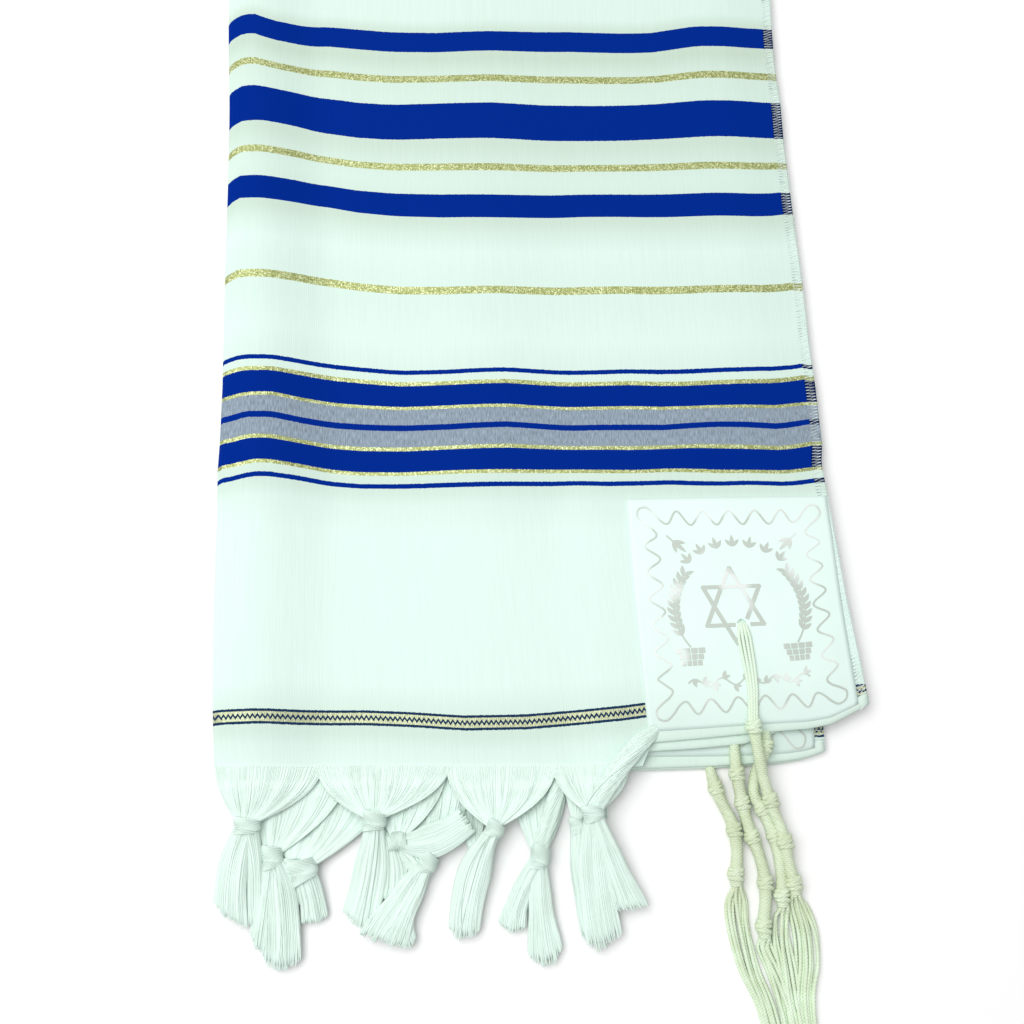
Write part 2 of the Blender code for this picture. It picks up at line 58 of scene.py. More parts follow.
CROSS_FOLD_REACH = (13.0, 17.3)   # of the inner and the outer cloth
CROSS_FOLD_HALF = (0.7, 2.0)  # half height of the inner cloth's turn, and what the outer has more
WEFT_SLOPE = 0.053            # the weft runs this much off square to the folds
WEFT_START = 4.8              # y of the fringe line at the long fold
NEAR_EDGE = (                 # x, then the near edge's y of layers 1 to 4
    (0, 4.8, 4.8, 3.5, 3.5),
    (44, 2.5, 3.4, 1.8, 1.2),
    (99, -0.4, 0.8, -1.0, -1.8),
    (144, -2.8, -1.2, -3.0, -3.8),
    (180, -4.6, -2.8, -3.8, -4.5),
    (184, 5.8, 2.3, -4.2, -5.0),
    (208, 6.6, 2.5, -4.6, -5.4),
    (230, 7.6, 3.4, -5.0, -5.8),
    (252, 8.2, 9.8, -4.8, -5.6),
    (262, 9.6, 12.7, -4.4, -5.2),
    (270, 12.9, 15.1, -3.6, -4.4),
    (276, 15.6, 16.9, -2.2, -3.0),
    (280, 17.2, 18.0, -1.0, -1.8),
)
RIGHT_EDGE = (                # y, then the open edge's x of layers 1 to 4
    (0, 281.5, 275.0, 260.5, 258.5),
    (17, 280.8, 274.5, 261.2, 259.0),
    (63, 277.3, 273.0, 262.5, 261.0),
    (117, 274.8, 271.5, 264.5, 262.5),
    (126, 274.6, 271.4, 265.0, 263.0),
    (136, 276.5, 271.3, 265.5, 263.5),
    (165, 277.1, 271.1, 266.9, 264.9),
    (186, 276.9, 271.4, 267.9, 266.0),
    (217, 277.7, 272.6, 269.3, 267.4),
    (250, 277.7, 273.9, 270.7, 268.9),
    (295, 278.1, 275.6, 272.7, 271.0),
    (318, 279.1, 276.5, 273.7, 272.0),
    (342, 278.9, 277.4, 274.8, 273.2),
    (366, 280.2, 278.4, 275.8, 274.3),
    (382, 281.4, 279.0, 276.5, 275.0),
    (850, 281.0, 279.5, 279.5, 281.0),
)
FOLD_EDGE = (                 # y, then how far in the long fold runs
    (-7, 1.2), (0, 0.9), (9, 0.5), (25, -0.3), (43, -0.9), (97, -0.7), (116, -0.2), (136, -0.4),
    (150, 0.4), (176, 1.1), (239, 1.1), (261, 1.5), (318, 1.6), (330, 1.4), (354, 0.6),
    (380, -0.2), (450, 0.0),
)
ROLL = (                      # the soft roll over the long fold: y, crest x, height, width
    (0, 15, 5.6, 36),
    (130, 17, 7.6, 38),
    (190, 17, 8.4, 38),
    (300, 14, 7.6, 36),
    (400, 13, 6.4, 34),
    (650, 15, 5.2, 38),
    (850, 15, 3.8, 34),
)
ROLL_DROP = 0.3               # of its height, from its crest down to the fold
ROLL_SHARES = (0.58, 0.42)    # of it in the near and in the far pair of layers
CREASES = (                   # mounds and troughs: x, y, half width, half length, height
    (76, 160, 28, 150, -1.2),
    (121, 160, 20, 80, 0.9),
    (160, 180, 24, 130, -1.0),
    (214, 150, 20, 34, 0.8),
    (242, 172, 18, 40, 1.0),
    (186, 335, 36, 130, -1.0),
    (262, 380, 28, 130, 1.4),
    (118, 345, 30, 120, 0.5),
    (92, 545, 36, 140, -1.1),
    (206, 590, 32, 150, 1.3),
    (146, 715, 38, 110, -1.0),
    (240, 745, 28, 110, -0.9),
)
CREASE_FLOOR = 1.5            # slack under the top layer, to which the creases add
CREASE_LEAST = 0.3
CREASE_FADE = (30, 30, 60)    # creases fade out over this at the open, near and far edge
CREASE_EDGE = 0.25            # and keep this much of their height there
PATCH_FLATTENS = 0.8          # of a crease that the patches flatten
SOFT_LINES = (                # faint pressed lines: x, y, turn in degrees, width, length, height
    (56, 118, 84, 3.5, 36, 0.30),
    (120, 116, 95, 4.0, 34, 0.26),
    (168, 96, 62, 4.0, 26, 0.34),
    (176, 112, 35, 3.5, 15, 0.30),
    (66, 62, 8, 9.0, 44, -0.30),
    (150, 50, -12, 10.0, 36, 0.22),
    (108, 30, 88, 5.0, 60, -0.20),
    (230, 215, 78, 5.0, 34, 0.30),
    (90, 240, 82, 8.0, 50, 0.25),
    (250, 300, 70, 6.0, 28, 0.32),
    (60, 330, 12, 6.0, 40, 0.28),
    (130, 470, 80, 6.0, 60, 0.35),
    (230, 520, 25, 6.0, 50, 0.35),
    (70, 640, 65, 6.0, 40, 0.32),
    (190, 700, -30, 7.0, 60, 0.35),
    (110, 780, 86, 6.0, 70, 0.30),
)
LINE_REACH = 3                # widths and lengths, past which a line is too faint to count


def plan(x, y, z):
    """A measure of the folded plan, in mm, as a point of the part in metres."""
    return Vector((x - FOLDED_WIDTH / 2, y - FOLDED_LENGTH / 2, z)) * 0.001


def ease(value):
    value = min(max(value, 0.0), 1.0)
    return value * value * (3 - 2 * value)


def mix(first, second, share):
    return first + share * (second - first)


def along(table, at, column):
    """A column of a table, read in straight runs at a value of its first column."""
    after = bisect_right([row[0] for row in table], at)
    if after in (0, len(table)):
        return table[min(after, len(table) - 1)][column]
    low, high = table[after - 1], table[after]
    return mix(low[column], high[column], (at - low[0]) / (high[0] - low[0]))


def roll_height(x, y):
    crest, height, width = (along(ROLL, y, column) for column in (1, 2, 3))
    if x < crest:
        return height * (1 - ROLL_DROP * ((crest - x) / crest) ** 2)
    return height * ease(1 - (x - crest) / width)


def patch_zone(x, y):
    (left, left_fade), (top, top_fade) = PATCH_ZONE
    return ease((x - left) / left_fade) * ease((top - y) / top_fade)


def crease_height(x, y):
    height = CREASE_FLOOR
    for mid_x, mid_y, half_width, half_length, top in CREASES:
        height += top * exp(-((x - mid_x) / half_width) ** 2 - ((y - mid_y) / half_length) ** 2)
    open_fade, near_fade, far_fade = CREASE_FADE
    inward = ease((FOLDED_WIDTH - x) / open_fade) * ease((y - 2) / near_fade)
    inward *= ease((FOLDED_LENGTH - y) / far_fade)
    lines = 0.0
    for mid_x, mid_y, turn, width, length, top in SOFT_LINES:
        lean = radians(turn)
        over = (x - mid_x) * cos(lean) + (y - mid_y) * sin(lean)
        down = (y - mid_y) * cos(lean) - (x - mid_x) * sin(lean)
        if abs(over) < LINE_REACH * width and abs(down) < LINE_REACH * length:
            lines += top * exp(-(over / width) ** 2 - (down / length) ** 2)
    flatter = 1 - PATCH_FLATTENS * patch_zone(x, y)
    height = max(height, CREASE_LEAST) * mix(CREASE_EDGE, 1, inward) * flatter
    return height + lines * inward * flatter


def cloth_height(layer, x, y):
    """Height of the middle of a layer."""
    lift = PATCH_LIFT * patch_zone(x, y)
    height = LOWEST_MIDDLE + lift
    if layer <= 3:
        height += LAYER_STEP + ROLL_SHARES[1] * roll_height(x, y)
    if layer <= 2:
        height += LAYER_STEP + lift
    if layer == 1:
        height += LAYER_STEP + ROLL_SHARES[0] * roll_height(x, y) + crease_height(x, y)
    return height


def cloth_point(layer, across, up):
    """A point of a layer, from its place across the cloth and its distance from the near edge."""
    y = up + along(NEAR_EDGE, across, layer) * max(0.0, 1 - up / EDGE_REACH)
    x = across / FOLDED_WIDTH * along(RIGHT_EDGE, y, layer)
    x += along(FOLD_EDGE, y, 1) * max(0.0, 1 - across / FOLD_REACH)
    return x, y, cloth_height(layer, x, y)


def weft_place(x, y):
    """Distance along the flat cloth from its fringe line."""
    straight = y + WEFT_SLOPE * x - WEFT_START
    return straight - weft_drift(x, straight)


WEFT_DRIFT = (                # how far a weft lies off its line: x, then at each of the rows below
    (0, -0.3, -2.6, -1.2, -1.4, -1.2, -0.9, -0.1, -2.7, -2.6),
    (3, 0.0, -1.4, -0.4, -0.7, -0.8, -0.2, 0.5, -1.0, 0.1),
    (7, 0.2, -1.0, -0.0, -0.1, 0.2, 1.1, 4.1, 2.2, 2.2),
    (13, 0.4, 0.5, 1.2, 1.8, 1.3, 1.9, 4.1, 3.0, 3.2),
    (18, 0.6, 1.2, 2.1, 1.7, 1.5, 1.8, 4.2, 3.2, 1.3),
    (24, 0.6, 1.2, 2.0, 1.9, 1.9, 2.1, 4.1, 3.0, -0.1),
    (36, 0.3, 0.5, 1.0, 0.4, 0.5, 1.4, 4.2, 2.4, -0.3),
    (50, 0.3, -1.1, -0.5, -0.7, -0.5, 0.6, 3.6, 0.1, 0.3),
    (64, 0.4, -2.0, -1.5, -1.5, -1.6, -0.6, 1.0, -2.3, -0.9),
    (83, -0.3, -2.0, -1.6, -2.0, -2.8, -2.2, -1.0, -3.3, -2.7),
    (106, -1.8, -1.6, -0.7, -1.6, -2.3, -2.2, -2.2, -2.6, -3.5),
    (133, -1.3, -1.2, -0.3, -0.2, -1.7, -1.0, -2.2, -2.0, -2.2),
    (160, 0.9, -0.8, -0.4, -1.9, -2.8, -2.1, -1.8, -3.4, -2.3),
    (175, 2.3, -1.4, -0.5, -1.6, -2.6, -2.0, -1.1, -3.5, -2.0),
    (190, 4.4, -1.1, -1.0, -1.8, -2.5, -1.7, -1.2, -3.5, -2.6),
    (204, 5.5, -0.7, -0.3, -2.1, -3.3, -2.2, -1.6, -3.1, -3.2),
    (217, 6.5, -1.3, -0.2, -1.0, -3.4, -2.1, -1.7, -2.5, -3.1),
    (228, 7.5, -1.3, -1.0, -0.2, -3.0, -1.6, -1.4, -1.9, -1.4),
    (240, 8.6, -0.8, -1.2, -0.3, -2.6, -1.3, -1.1, -1.4, 0.3),
    (257, 10.4, -1.4, -1.4, -1.3, -2.3, -0.6, -1.7, -1.9, -0.3),
    (266, 11.4, -0.4, -0.2, 0.4, -0.9, 0.4, -1.3, -2.0, -0.5),
    (272, 12.0, 0.6, 0.8, 1.8, -0.3, 1.5, -0.1, -2.1, -0.2),
    (276.4, 12.2, 0.6, 0.8, 1.8, -0.3, 0.5, -0.1, -2.1, -0.3),
    (280, 12.4, 2.8, 3.0, 4.0, 1.9, 4.6, -0.1, -2.1, -0.3),
)
# the rows' distances from the fringe line
WEFT_DRIFT_ROWS = (28.0, 125.2, 137.8, 153.6, 168.7, 181.7, 270.3, 317.8, 365.1)
DRIFT_END = (390, 120)        # from here on, over this length, the wefts run straight again
FAR_CORNER_DRIFT = -15.0      # more on the far pair, where its corner's weft runs down
FAR_CORNER = (190, 10, 60)    # from this x, up to this y, and over what length it fades


def weft_drift(x, straight):
    after = min(max(bisect_right(WEFT_DRIFT_ROWS, straight), 1), len(WEFT_DRIFT_ROWS) - 1)
    low, high = WEFT_DRIFT_ROWS[after - 1], WEFT_DRIFT_ROWS[after]
    share = min(max((straight - low) / (high - low), 0.0), 1.0)
    paler_on_patch = 1 - ease((straight - DRIFT_END[0]) / DRIFT_END[1])
    return mix(along(WEFT_DRIFT, x, after), along(WEFT_DRIFT, x, after + 1), share) * paler_on_patch


def far_weft_place(x, y):
    left, top, fade = FAR_CORNER
    corner = ease((x - left) / fade) * (1 - ease((y - top) / fade))
    return weft_place(x, y) - FAR_CORNER_DRIFT * corner


def cloth_row(upper, lower, up):
    """Points from the upper layer's open edge, round the long fold, to the lower layer's."""
    top = [cloth_point(upper, across, up) for across in reversed(ACROSS)]
    bottom = [cloth_point(lower, across, up) for across in ACROSS]
    x, y, high = top[-1]
    reach = x - along(FOLD_EDGE, y, 1)
    middle, half = (high + bottom[0][2]) / 2, (high - bottom[0][2]) / 2
    for step in range(1, FOLD_TURNS):
        angle = pi * step / FOLD_TURNS
        top.append((x - reach * sin(angle), y, middle + half * cos(angle)))
    return top + bottom


def crosswise_turn(near, far, angle):
    """A row on the crosswise fold, between the near and the far pair's last rows."""
    row = []
    for (x, y, high), (far_x, _, low) in zip(near, far):
        middle, half = (high + low) / 2, (high - low) / 2
        reach = mix(*CROSS_FOLD_REACH, ease((half - CROSS_FOLD_HALF[0]) / CROSS_FOLD_HALF[1]))
        row.append((mix(x, far_x, angle / pi), y + reach * sin(angle), middle + half * cos(angle)))
    return row


def select_only(piece):
    bpy.ops.object.select_all(action="DESELECT")
    bpy.context.view_layer.objects.active = piece
    piece.select_set(True)


def primitive(name, add, **settings):
    """Adds a primitive with nothing else selected."""
    bpy.ops.object.select_all(action="DESELECT")
    add(**settings)
    piece = bpy.context.object
    piece.name = piece.data.name = name
    return piece


def finish_modifiers(piece):
    select_only(piece)
    for modifier in list(piece.modifiers):
        bpy.ops.object.modifier_apply(modifier=modifier.name)


def thicken(piece, thickness):
    wall = piece.modifiers.new("wall", "SOLIDIFY")
    wall.thickness = thickness * 0.001
    wall.offset = 0.0
    finish_modifiers(piece)


def shaped_grid(name, rows):
    """A grid primitive with its points moved to rows of plan points."""
    across, down = len(rows[0]), len(rows)
    piece = primitive(
        name, bpy.ops.mesh.primitive_grid_add, x_subdivisions=across - 1,
        y_subdivisions=down - 1, size=1,
    )
    for vertex, point in zip(piece.data.vertices, (p for row in rows for p in row)):
        vertex.co = plan(*point)
    return piece


def smooth(piece):
    select_only(piece)
    bpy.ops.object.shade_smooth()


def even_steps(start, step, count):
    return [start + step * index for index in range(1, count + 1)]


EDGE_STEPS = [0.0, 0.5, 1.3]  # rows close together, so that a cut edge stays crisp
ROW_STEP = 9.0                # away from the fringed ends
ACROSS = even_steps(0.0, FOLD_START, 17) + even_steps(59.5, 5.25, 41)
ACROSS += [FOLDED_WIDTH - step for step in EDGE_STEPS[::-1]]
UP_NEAR = EDGE_STEPS + even_steps(0.0, 4.0, 100) + even_steps(400.0, ROW_STEP, 48)
UP_FAR = even_steps(CROSS_FOLD_START + ROW_STEP, -ROW_STEP, 79) + even_steps(130.0, -5.0, 25)
UP_FAR += EDGE_STEPS[::-1]

cloth_rows = [cloth_row(1, 2, up) for up in UP_NEAR]
far_rows = [cloth_row(3, 4, up) for up in UP_FAR]
weft_rows = [[weft_place(x, y) for x, y, z in row] for row in cloth_rows]
far_wefts = [[2 * FOLDED_LENGTH - far_weft_place(x, y) for x, y, z in row] for row in far_rows]
# the far pair lies turned over, so its upper layer continues the near pair's lower one
far_rows = [row[::-1] for row in far_rows]
far_wefts = [row[::-1] for row in far_wefts]
for step in range(1, CROSS_FOLD_TURNS):
    share = step / CROSS_FOLD_TURNS
    cloth_rows.append(crosswise_turn(cloth_rows[len(UP_NEAR) - 1], far_rows[0], pi * share))
    weft_rows.append([mix(a, b, share) for a, b in zip(weft_rows[len(UP_NEAR) - 1], far_wefts[0])])
cloth_rows += far_rows
weft_rows += far_wefts

shawl = shaped_grid("shawl", cloth_rows)
fold_steps = [mix(FOLD_START, -FOLD_START, step / FOLD_TURNS) for step in range(1, FOLD_TURNS)]
warp_row = ACROSS[::-1] + fold_steps + [-across for across in ACROSS]
flat_places = [
    (warp * 0.001, weft * 0.001) for wefts in weft_rows for warp, weft in zip(warp_row, wefts)
]
weave_map = shawl.data.uv_layers.active
weave_map.name = "weave"
for loop in shawl.data.loops:
    weave_map.data[loop.index].uv = flat_places[loop.vertex_index]
thicken(shawl, CLOTH_THICKNESS)
smooth(shawl)


def new_finish(name):
    material = bpy.data.materials.new(name)
    material.use_nodes = True
    return material, material.node_tree, material.node_tree.nodes["Principled BSDF"]


def add_node(tree, kind, inputs=None, **settings):
    """A node with its settings, and with values or other nodes' outputs on its inputs."""
    node = tree.nodes.new(kind)
    for name, value in settings.items():
        setattr(node, name, value)
    for socket, value in (inputs or {}).items():
        if isinstance(value, bpy.types.NodeSocket):
            tree.links.new(value, node.inputs[socket])
        else:
            node.inputs[socket].default_value = value
    return node


def calc(tree, operation, *values):
    inputs = dict(enumerate(values))
    return add_node(tree, "ShaderNodeMath", inputs, operation=operation).outputs[0]


def vector(tree, x=0.0, y=0.0, z=0.0):
    return add_node(tree, "ShaderNodeCombineXYZ", {0: x, 1: y, 2: z}).outputs[0]


def noise(tree, place, scale, detail=2.0, roughness=0.5):
    inputs = {"Vector": place, "Scale": scale, "Detail": detail, "Roughness": roughness}
    return add_node(tree, "ShaderNodeTexNoise", inputs).outputs[0]


def blend_colour(tree, share, first, second, blend_type="MIX"):
    inputs = {0: share, 6: first, 7: second}
    node = add_node(tree, "ShaderNodeMix", inputs, data_type="RGBA", blend_type=blend_type)
    return node.outputs[2]


def ramp(tree, share, stops, interpolation="LINEAR"):
    node = add_node(tree, "ShaderNodeValToRGB", {0: share})
    node.color_ramp.interpolation = interpolation
    elements = node.color_ramp.elements
    elements.remove(elements[1])
    elements[0].position, elements[0].color = stops[0]
    for position, colour in stops[1:]:
        elements.new(position).color = colour
    return node.outputs[0]


def bump(tree, shader, height, strength, distance):
    inputs = {"Height": height, "Strength": strength, "Distance": distance}
    tree.links.new(add_node(tree, "ShaderNodeBump", inputs).outputs[0], shader.inputs["Normal"])


def mottled(tree, pattern, gain, offset, first, second):
    """Two colours mixed by a pattern, once its contrast is raised."""
    return blend_colour(tree, calc(tree, "MULTIPLY_ADD", pattern, gain, offset), first, second)


def set_inputs(shader, values):
    for name, value in values.items():
        shader.inputs[name].default_value = value


def cover(piece, finish):
    piece.data.materials.clear()
    piece.data.materials.append(finish)


STRIPES = (                   # from and to, mm from the fringe line, and the weft's yarn
    (126.1, 128.4, "blue"),
    (132.1, 133.9, "gold"), (133.9, 144.0, "blue"), (144.0, 145.8, "gold"),
    (145.8, 154.1, "chambray"), (154.1, 157.0, "blue"), (157.0, 164.9, "chambray"),
    (164.9, 166.7, "gold"), (166.7, 176.9, "blue"), (176.9, 178.9, "gold"),
    (182.5, 184.8, "blue"),
    (223.5, 227.4, "gold"), (264.9, 277.7, "blue"), (291.7, 295.2, "gold"),
    (309.8, 330.4, "blue"), (343.8, 347.2, "gold"), (361.7, 374.1, "blue"),
    (412.0, 415.4, "gold"),
)
STRIPE_MASKS = {"blue": (1, 0, 0, 1), "gold": (0, 1, 0, 1), "chambray": (0, 0, 1, 1)}
STRIPE_GROUPS = ((120.0, 190.0), (215.0, 420.0))   # each on its own ramp, for sharp edges
STRIPE_RAGGED = 0.25          # how far a stripe's edge strays from its line
BAND_MIDDLE = 20.7            # the narrow band by the fringe: navy, gold with a navy zigzag, navy
BAND_HALF = (2.1, 3.2)        # to the gold's and to the navy's edge
ZIGZAG = (2.05, 1.5, 0.62)    # pitch, height and half thickness
RIB_PITCH = 0.95              # of the warp's ribs
GOLD_CELL = (0.55, 0.5)       # a spangle of the gold yarn, along weft and warp
CLOTH_WHITE = (0.70, 0.86, 0.80, 1)
CLOTH_WHITE_SHADE = (0.66, 0.82, 0.755, 1)
PAINTED_SHADE_SPAN = 450.0
CLOTH_PAINTED_SHADE = (               # mm from the fringe line, and how light the ground is painted there: painted shade, darkest beside the stripes
    (0, 1.0), (9, 0.95), (15, 0.86), (26, 0.93), (36, 1.0), (104, 1.0), (118, 0.95), (124, 0.86),
    (187, 0.93), (200, 0.975), (218, 0.94), (231, 0.94), (246, 0.97), (256, 0.885), (263, 0.80),
    (279, 0.88), (286, 0.90), (298, 0.86), (307, 0.79), (334, 0.885), (350, 0.85), (358, 0.76),
    (376, 0.82), (382, 0.94), (450, 0.97),
)
PAINTED_SHADE_BLUE = 1.3               # a greyer painted shade loses this much more of its blue
STRIPE_BLUE = (0.0002, 0.024, 0.262, 1)
STRIPE_BLUE_RIB = (0.0002, 0.018, 0.222, 1)
BLUE_DRAWN_IN_AND_SHADED = (0.002, 0.012, 0.07, 1)   # the blue drawn in by the overlock stitches, with painted shade under them
DRAWN_IN_AND_SHADED_MARGIN = 4.9         # in from the edge
BAND_NAVY = (0.010, 0.034, 0.088, 1)
CHAMBRAY_PALE = (0.36, 0.445, 0.53, 1)
CHAMBRAY_DEEP = (0.155, 0.19, 0.23, 1)
# the gold yarn's flecks, from dull to pale; the palest of them are painted glints
GOLD_FLECKS_AND_GLINTS = (
    (0.0, (0.23, 0.255, 0.09, 1)), (0.35, (0.36, 0.40, 0.155, 1)),
    (0.75, (0.47, 0.52, 0.245, 1)), (0.93, (0.72, 0.78, 0.48, 1)),
)
BAND_PALE = (0.50, 0.54, 0.40, 1)     # mixed into the narrow band's gold
BAND_PALE_SHARE = 0.6


def stripe_masks(tree, pick, low, high):
    """Blue, gold and chambray masks of the stripes between two measures."""
    stops, last = [(0.0, (0, 0, 0, 1))], low
    for start, end, yarn in STRIPES:
        if low < start < high:
            if start > last > low:
                stops.append(((last - low) / (high - low), (0, 0, 0, 1)))
            stops.append(((start - low) / (high - low), STRIPE_MASKS[yarn]))
            last = end
    stops.append(((last - low) / (high - low), (0, 0, 0, 1)))
    place = calc(tree, "DIVIDE", calc(tree, "SUBTRACT", pick, low), high - low)
    masks = ramp(tree, place, stops, "CONSTANT")
    return add_node(tree, "ShaderNodeSeparateColor", {0: masks}).outputs


def drawn_noise(tree, warp, weft, across, lengthwise):
    """Noise drawn out along the warp."""
    place = vector(tree, calc(tree, "MULTIPLY", warp, across),
                   calc(tree, "MULTIPLY", weft, lengthwise))
    return noise(tree, place, 1.0, 3.0, 0.6)


def woven_cloth():
    """White cloth with weft stripes, the same from both ends, and warp ribs."""
    material, tree, shader = new_finish("woven shawl cloth")
    flat = add_node(tree, "ShaderNodeUVMap", uv_map="weave").outputs[0]
    places = add_node(tree, "ShaderNodeSeparateXYZ", {0: flat})
    warp = calc(tree, "MULTIPLY", places.outputs[0], 1000.0)
    weft = calc(tree, "MULTIPLY", places.outputs[1], 1000.0)
    from_middle = calc(tree, "ABSOLUTE", calc(tree, "SUBTRACT", weft, FOLDED_LENGTH))
    from_end = calc(tree, "SUBTRACT", FOLDED_LENGTH, from_middle)
    ragged = noise(tree, vector(tree, warp, from_end), 2.2, 0.0)
    stray = calc(tree, "MULTIPLY_ADD", ragged, 2 * STRIPE_RAGGED, -STRIPE_RAGGED)
    pick = calc(tree, "ADD", from_end, stray)

    groups = [stripe_masks(tree, pick, low, high) for low, high in STRIPE_GROUPS]
    blue, gold, chambray = (calc(tree, "MAXIMUM", *masks) for masks in zip(*groups))

    off_middle = calc(tree, "SUBTRACT", pick, BAND_MIDDLE)
    off_band = calc(tree, "ABSOLUTE", off_middle)
    in_band = calc(tree, "LESS_THAN", off_band, BAND_HALF[1])
    in_gold = calc(tree, "LESS_THAN", off_band, BAND_HALF[0])
    pitch, swing, half_line = ZIGZAG
    tooth = calc(tree, "PINGPONG", warp, pitch / 2)
    wave = calc(tree, "MULTIPLY_ADD", tooth, 2 * swing / pitch, -swing / 2)
    off_wave = calc(tree, "ABSOLUTE", calc(tree, "SUBTRACT", off_middle, wave))
    zigzag = calc(tree, "MULTIPLY", calc(tree, "LESS_THAN", off_wave, half_line), in_gold)
    band_gold = calc(tree, "SUBTRACT", in_gold, zigzag)
    navy = calc(tree, "SUBTRACT", in_band, band_gold)
    all_gold = calc(tree, "MAXIMUM", gold, band_gold)

    ribs = calc(tree, "SINE", calc(tree, "MULTIPLY", warp, 2 * pi / RIB_PITCH))
    streaks = drawn_noise(tree, warp, weft, 0.9, 0.035)
    slubs = drawn_noise(tree, warp, weft, 1.9, 0.3)
    colour = mottled(tree, streaks, 2.2, -0.75, CLOTH_WHITE, CLOTH_WHITE_SHADE)
    # painted shade along the weft, multiplied into the white ground
    painted_light_and_shade = [(end / PAINTED_SHADE_SPAN, (light_level, light_level, 1 - PAINTED_SHADE_BLUE * (1 - light_level), 1))
             for end, light_level in CLOTH_PAINTED_SHADE]
    painted_ground_shade = ramp(tree, calc(tree, "DIVIDE", pick, PAINTED_SHADE_SPAN), painted_light_and_shade)
    colour = blend_colour(tree, 1.0, colour, painted_ground_shade, "MULTIPLY")
    blue_yarn = mottled(tree, ribs, 0.5, 0.5, STRIPE_BLUE, STRIPE_BLUE_RIB)
    from_fold = calc(tree, "ABSOLUTE", warp)
    # painted shade under the overlock stitches, with the blue drawn in there, over the stripes' blue
    drawn_in_and_shaded = calc(tree, "GREATER_THAN", from_fold, FOLDED_WIDTH - DRAWN_IN_AND_SHADED_MARGIN)
    blue_yarn = blend_colour(tree, drawn_in_and_shaded, blue_yarn, BLUE_DRAWN_IN_AND_SHADED)
    chambray_yarn = mottled(tree, slubs, 2.2, -0.6, CHAMBRAY_PALE, CHAMBRAY_DEEP)
    cell = vector(tree, *(calc(tree, "FLOOR", calc(tree, "DIVIDE", place, size))
                          for place, size in zip((warp, weft), GOLD_CELL)))
    fleck = add_node(tree, "ShaderNodeTexWhiteNoise", {0: cell}).outputs[0]
    # flecks of the gold yarn, the palest of them painted glints
    gold_and_painted_glints = ramp(tree, fleck, GOLD_FLECKS_AND_GLINTS)
    paler = calc(tree, "MULTIPLY", in_band, BAND_PALE_SHARE)
    gold_and_painted_glints = blend_colour(tree, paler, gold_and_painted_glints, BAND_PALE)
    colour = blend_colour(tree, blue, colour, blue_yarn)
    colour = blend_colour(tree, chambray, colour, chambray_yarn)
    colour = blend_colour(tree, navy, colour, BAND_NAVY)
    colour = blend_colour(tree, all_gold, colour, gold_and_painted_glints)
    tree.links.new(colour, shader.inputs["Base Color"])
    tree.links.new(calc(tree, "MULTIPLY", all_gold, 0.35), shader.inputs["Metallic"])
    tree.links.new(calc(tree, "MULTIPLY_ADD", all_gold, -0.42, 0.82), shader.inputs["Roughness"])
    set_inputs(shader, {"Specular IOR Level": 0.02})
    crepe = noise(tree, vector(tree, warp, weft), 1.6, 2.0)
    texture = calc(tree, "MULTIPLY_ADD", ribs, 0.3, crepe)
    height = calc(tree, "MULTIPLY_ADD", fleck, all_gold, texture)
    bump(tree, shader, height, 0.22, 0.00022)
    return material


cover(shawl, woven_cloth())
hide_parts("shawl_cloth")
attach(shawl, "root")


# ---- The overlocked side edges: white thread sewn over both selvedges, in leaning stitches on
# each face and with a thread along the very edge. Both edges run the whole length of the
# cloth, so they turn with it round the crosswise fold.
STITCH_PITCH = 1.5
STITCH_WIDTH = 4.8
STITCH_RADIUS = 0.16
STITCH_LIFT = 0.03            # off the cloth's face
STITCH_TURN = 0.35            # in from the edge, where a stitch turns over it
STITCH_OUT = 0.05             # past the edge
RIM_OUT = 0.1                 # the edge thread past the edge, and its sway up and down
RIM_SWAY = 0.2
YARN_WHITE = (0.93, 1.0, 0.99, 1)
YARN_WHITE_SHADE = (0.88, 1.0, 0.96, 1)


def own_place(tree):
    return add_node(tree, "ShaderNodeTexCoord").outputs["Object"]


def plied(tree, here, lean, scale, distortion):
    """Slanting bands, as twisted plies make them."""
    turned = add_node(tree, "ShaderNodeMapping", {0: here, 2: (0.0, 0.0, radians(lean))})
    inputs = {"Vector": turned.outputs[0], "Scale": scale, "Distortion": distortion}
    return add_node(tree, "ShaderNodeTexWave", inputs).outputs[1]


def yarn_finish(name, colour, shade, twist, relief):
    """Yarn with soft colour changes and a fine twist, at twist mm."""
    material, tree, shader = new_finish(name)
    here = own_place(tree)
    soft = noise(tree, here, 90.0, 3.0, 0.6)
    mottle = mottled(tree, soft, 2.4, -0.7, colour, shade)
    tree.links.new(mottle, shader.inputs["Base Color"])
    bump(tree, shader, plied(tree, here, 38, 314.0 / twist, 1.5), relief, 0.0002)
    set_inputs(shader, {"Roughness": 0.75, "Specular IOR Level": 0.25})
    return material


def lay_threads(name, threads, radius, finish, closed=(), roundness=0):
    """Threads through plan points. A thread's points may have a width each, as x, y, z, w."""
    curve = bpy.data.curves.new(name, "CURVE")
    curve.dimensions = "3D"
    curve.bevel_depth = radius * 0.001
    curve.bevel_resolution = roundness
    curve.use_fill_caps = True
    for index, thread in enumerate(threads):
        spline = curve.splines.new("POLY")
        spline.points.add(len(thread) - 1)
        spline.use_cyclic_u = index in closed
        for point, (x, y, z, *width) in zip(spline.points, thread):
            point.co = (*plan(x, y, z), 1.0)
            point.radius = width[0] if width else 1.0
    bundle = bpy.data.objects.new(name, curve)
    bpy.context.scene.collection.objects.link(bundle)
    select_only(bundle)
    bpy.ops.object.convert(target="MESH")
    bundle = bpy.context.object
    cover(bundle, finish)
    smooth(bundle)
    return bundle


